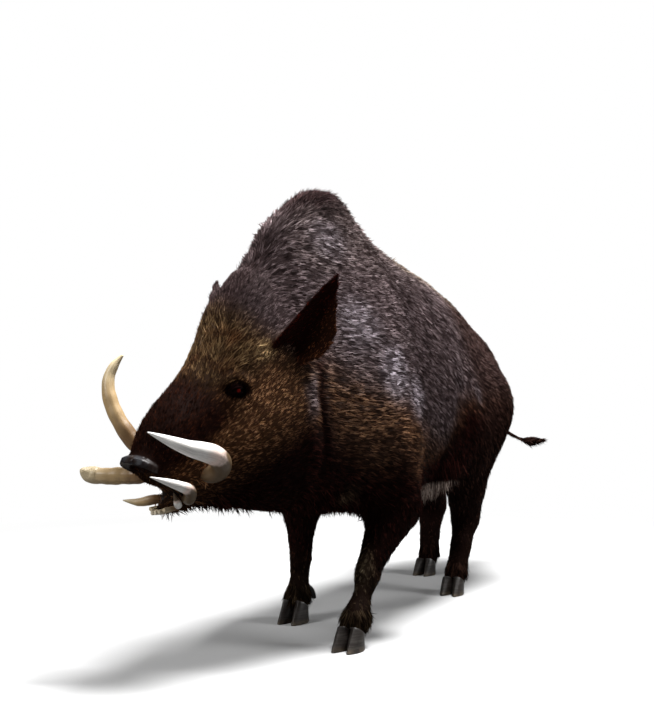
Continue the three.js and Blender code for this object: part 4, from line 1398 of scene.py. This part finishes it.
def closedCleft(name, spots):
    # the two claws of a foot stand close together above, and part only toward the toe
    foot, word = name.rsplit("_", 1)
    own, other = middle(name), middle(foot + "_" + ("right" if word == "left" else "left"))
    across = unit((other - own) * [1, 1, 0])
    half = (other - own) @ across / 2
    reach = (spots - own) @ across
    shelf = np.clip((spots[:, 2] / claws["shelf"]).astype(int), 0, 20)
    edge = np.full(21, -1.0)
    np.maximum.at(edge, shelf, reach)
    level = (np.arange(21) + 0.5) * claws["shelf"]
    edge = np.interp(spots[:, 2], level[edge > -1], edge[edge > -1])
    push = np.maximum(half - claws["gap"] - edge, 0) * step(0, 1, reach / edge)
    push = push * step(0.004, 0.016, spots[:, 2])
    return spots + across * push[:, None]


for name in sorted(nodes):
    if name.startswith(("hoof_", "dewclaw_")):
        rounding, levels = (claws["round"], 2) if name.startswith("hoof") else (0.0012, 1)
        thing = roundedCopy(name, name + "_shape", rounding, levels)
        mesh = thing.data
        spots = np.empty(len(mesh.vertices) * 3, np.float32)
        mesh.vertices.foreach_get("co", spots)
        spots = spots.reshape(-1, 3)
        if name.startswith("hoof"):
            spots = closedCleft(name, spots)
        centre = spots.mean(0)
        away = unit((spots - centre) * [1, 1, 0])
        ring = np.sin(2 * np.pi * spots[:, 2] / claws["pitch"])
        ring = ring + 0.6 * np.sin(spots[:, 2] * 2900 + spots[:, 0] * 60)
        spots += away * (claws["ring"] * ring * step(0.004, 0.009, spots[:, 2]))[:, None]
        mesh.vertices.foreach_set("co", spots.ravel())
        finished(thing, hornSurfaces[name.split("_")[0]], [name])
print("hooves made")

eye = {
    "radius": 0.0133,
    "bulge": 0.0012,  # the clear front stands out
    "iris": 0.0052,
    "pupil": 0.0009,
}


def eyeLook(side):
    look = Look("eye_" + side, 0.09, {"Specular IOR Level": 0.10, "IOR": 1.38})
    centre, outward = eyeSpots[side], eyeFrame(side)[1] @ headTurn
    where = look.add("VectorMath", {"operation": "SUBTRACT"}, {0: look.place(), 1: tuple(centre)})
    depth = look.add("VectorMath", {"operation": "DOT_PRODUCT"}, {0: where, 1: tuple(outward)}, "Value")
    size = look.add("VectorMath", {"operation": "LENGTH"}, {0: where}, "Value")
    reach = (size * size - depth * depth).atLeast(0.0) ** 0.5
    fibres = look.noise(where, 900.0, 3.0)
    # the iris is dark red, brightest toward its middle: partly its own colour, partly a painted red glint
    iris = look.mix(fibres.ramp(0.35, 0.65), (0.040, 0.0024, 0.0016), (0.210, 0.0080, 0.0050))
    iris = look.mix(reach.ramp(eye["iris"] * 0.35, eye["iris"]), iris, (0.018, 0.0012, 0.0008))
    colour = look.mix(reach.ramp(eye["pupil"] * 0.85, eye["pupil"] * 1.15), (0.002, 0.001, 0.001), iris)
    rim = (reach + (fibres - 0.5) * 0.001).ramp(eye["iris"] * 0.88, eye["iris"])
    colour = look.mix(rim, colour, (0.004, 0.0014, 0.0014))
    look.set("Base Color", colour)
    return look


def makeEye(side):
    centre, outward = eyeSpots[side], eyeFrame(side)[1] @ headTurn
    rows, columns = 40, 56
    across = unit(np.cross(outward, [0, 0, 1.0]))
    above = np.cross(outward, across)
    leans, turns = np.linspace(0, np.pi, rows + 1)[1:-1], np.linspace(0, 2 * np.pi, columns, endpoint=False)
    lean, turn = np.meshgrid(leans, turns, indexing="ij")
    radius = eye["radius"] + eye["bulge"] * np.exp(-((lean / 0.55) ** 2))
    ball = centre + outward * (np.cos(lean) * radius)[..., None]
    ball = ball + across * (np.sin(lean) * np.cos(turn) * radius)[..., None]
    ball = ball + above * (np.sin(lean) * np.sin(turn) * radius)[..., None]
    body = ball.reshape(-1, 3)
    ends = np.array([centre + outward * (eye["radius"] + eye["bulge"]), centre - outward * eye["radius"]])
    index = np.arange(len(body)).reshape(lean.shape)
    after = np.roll(index, -1, 1)
    faces = np.stack([index[:-1], index[1:], after[1:], after[:-1]], -1).reshape(-1, 4)
    caps = np.concatenate([
        np.stack([index[0], after[0], np.full(columns, len(body))], 1),
        np.stack([after[-1], index[-1], np.full(columns, len(body) + 1)], 1),
    ])
    everything = np.concatenate([body, ends])
    away = everything[faces] - centre
    if np.einsum("ij,ij->", away[:, 0], np.cross(away[:, 1], away[:, 2])) < 0:
        faces, caps = faces[:, ::-1], caps[:, ::-1]
    name = "eye_" + side
    finished(meshFrom(name + "_shape", everything, [faces, caps]), eyeLook(side), [name])


for side in ("left", "right"):
    makeEye(side)
print("eyes made")

# the worn front teeth
teethLook = ivoryLook("worn_teeth", (0.20, 0.12, 0.06), (0.48, 0.38, 0.25), (0.66, 0.58, 0.44), 0.4)
teeth = roundedCopy("incisors", "front_teeth", 0.0012, 2)
reach = intoHead(spotsOf(teeth.data))[:, 0]
layer = teeth.data.attributes.new("along", "FLOAT", "POINT")
layer.data.foreach_set("value", ((reach - reach.min()) / np.ptp(reach)).astype(np.float32))
finished(teeth, teethLook, ["incisors"])
print("teeth made")


# stage

stage = {
    "ambient": 0.05,
    "seen": 0.62,  # brightness of the floor to the eye
    "bounce": 0.12,  # and the light it throws back up
    "lamps": {
        "key": {"place": (-0.1, 0.6, 3.4), "size": 1.2, "power": 340},
        "fill": {"place": (2.7, -1.3, 2.2), "size": 1.0, "power": 54},
        "left": {"place": (-1.2, 2.8, 2.4), "size": 0.9, "power": 45},
        "right": {"place": (-0.9, -2.4, 2.8), "size": 1.0, "power": 12},
    },
}


def makeStage():
    floorLook = Look("floor", 0.9, {"Specular IOR Level": 0.1})
    where = floorLook.place()
    away = floorLook.add("VectorMath", {"operation": "LENGTH"}, {0: where}, "Value")
    grain = floorLook.noise(where, 3.0, 2.0)
    seen = floorLook.add("LightPath", {}, {}, "Is Camera Ray")
    pale = floorLook.mix(grain, (stage["seen"] - 0.04,) * 3, (stage["seen"],) * 3)
    floorLook.set("Base Color", floorLook.mix(seen, (stage["bounce"],) * 3, pale))
    glow = floorLook.add("Emission", {}, {"Color": (1, 1, 1), "Strength": 1.0})
    body = Wire(floorLook, floorLook.shader.outputs[0])
    mask = seen * away.ramp(1.5, 2.4)
    blended = floorLook.add("MixShader", {}, {0: mask, 1: body, 2: glow})
    floorLook.tree.links.new(blended.socket, floorLook.tree.nodes["Material Output"].inputs[0])
    corners = np.array([[-30, -30, 0], [30, -30, 0], [30, 30, 0], [-30, 30, 0]], float)
    floor = meshFrom("floor", corners, [np.array([[0, 1, 2, 3]])])
    floor.data.materials.append(floorLook.material)
    world = bpy.data.worlds.new("world")
    bpy.context.scene.world = world
    world.use_nodes = True
    tree = world.node_tree
    rays = tree.nodes.new("ShaderNodeLightPath")
    level = tree.nodes.new("ShaderNodeMapRange")
    tree.links.new(rays.outputs["Is Camera Ray"], level.inputs["Value"])
    level.inputs["To Min"].default_value = stage["ambient"]
    level.inputs["To Max"].default_value = 1.0
    tree.nodes["Background"].inputs["Color"].default_value = (1, 1, 1, 1)
    tree.links.new(level.outputs[0], tree.nodes["Background"].inputs["Strength"])
    for name, plan in stage["lamps"].items():
        lamp = bpy.data.lights.new(name, "AREA")
        lamp.size = plan["size"]
        lamp.energy = plan["power"]
        toward = Vector((0.1, 0, 0.6)) - Vector(plan["place"])
        aimed(bpy.data.objects.new(name, lamp), plan["place"], toward)
    bpy.context.scene.view_settings.view_transform = "Standard"


makeStage()
print("stage set")
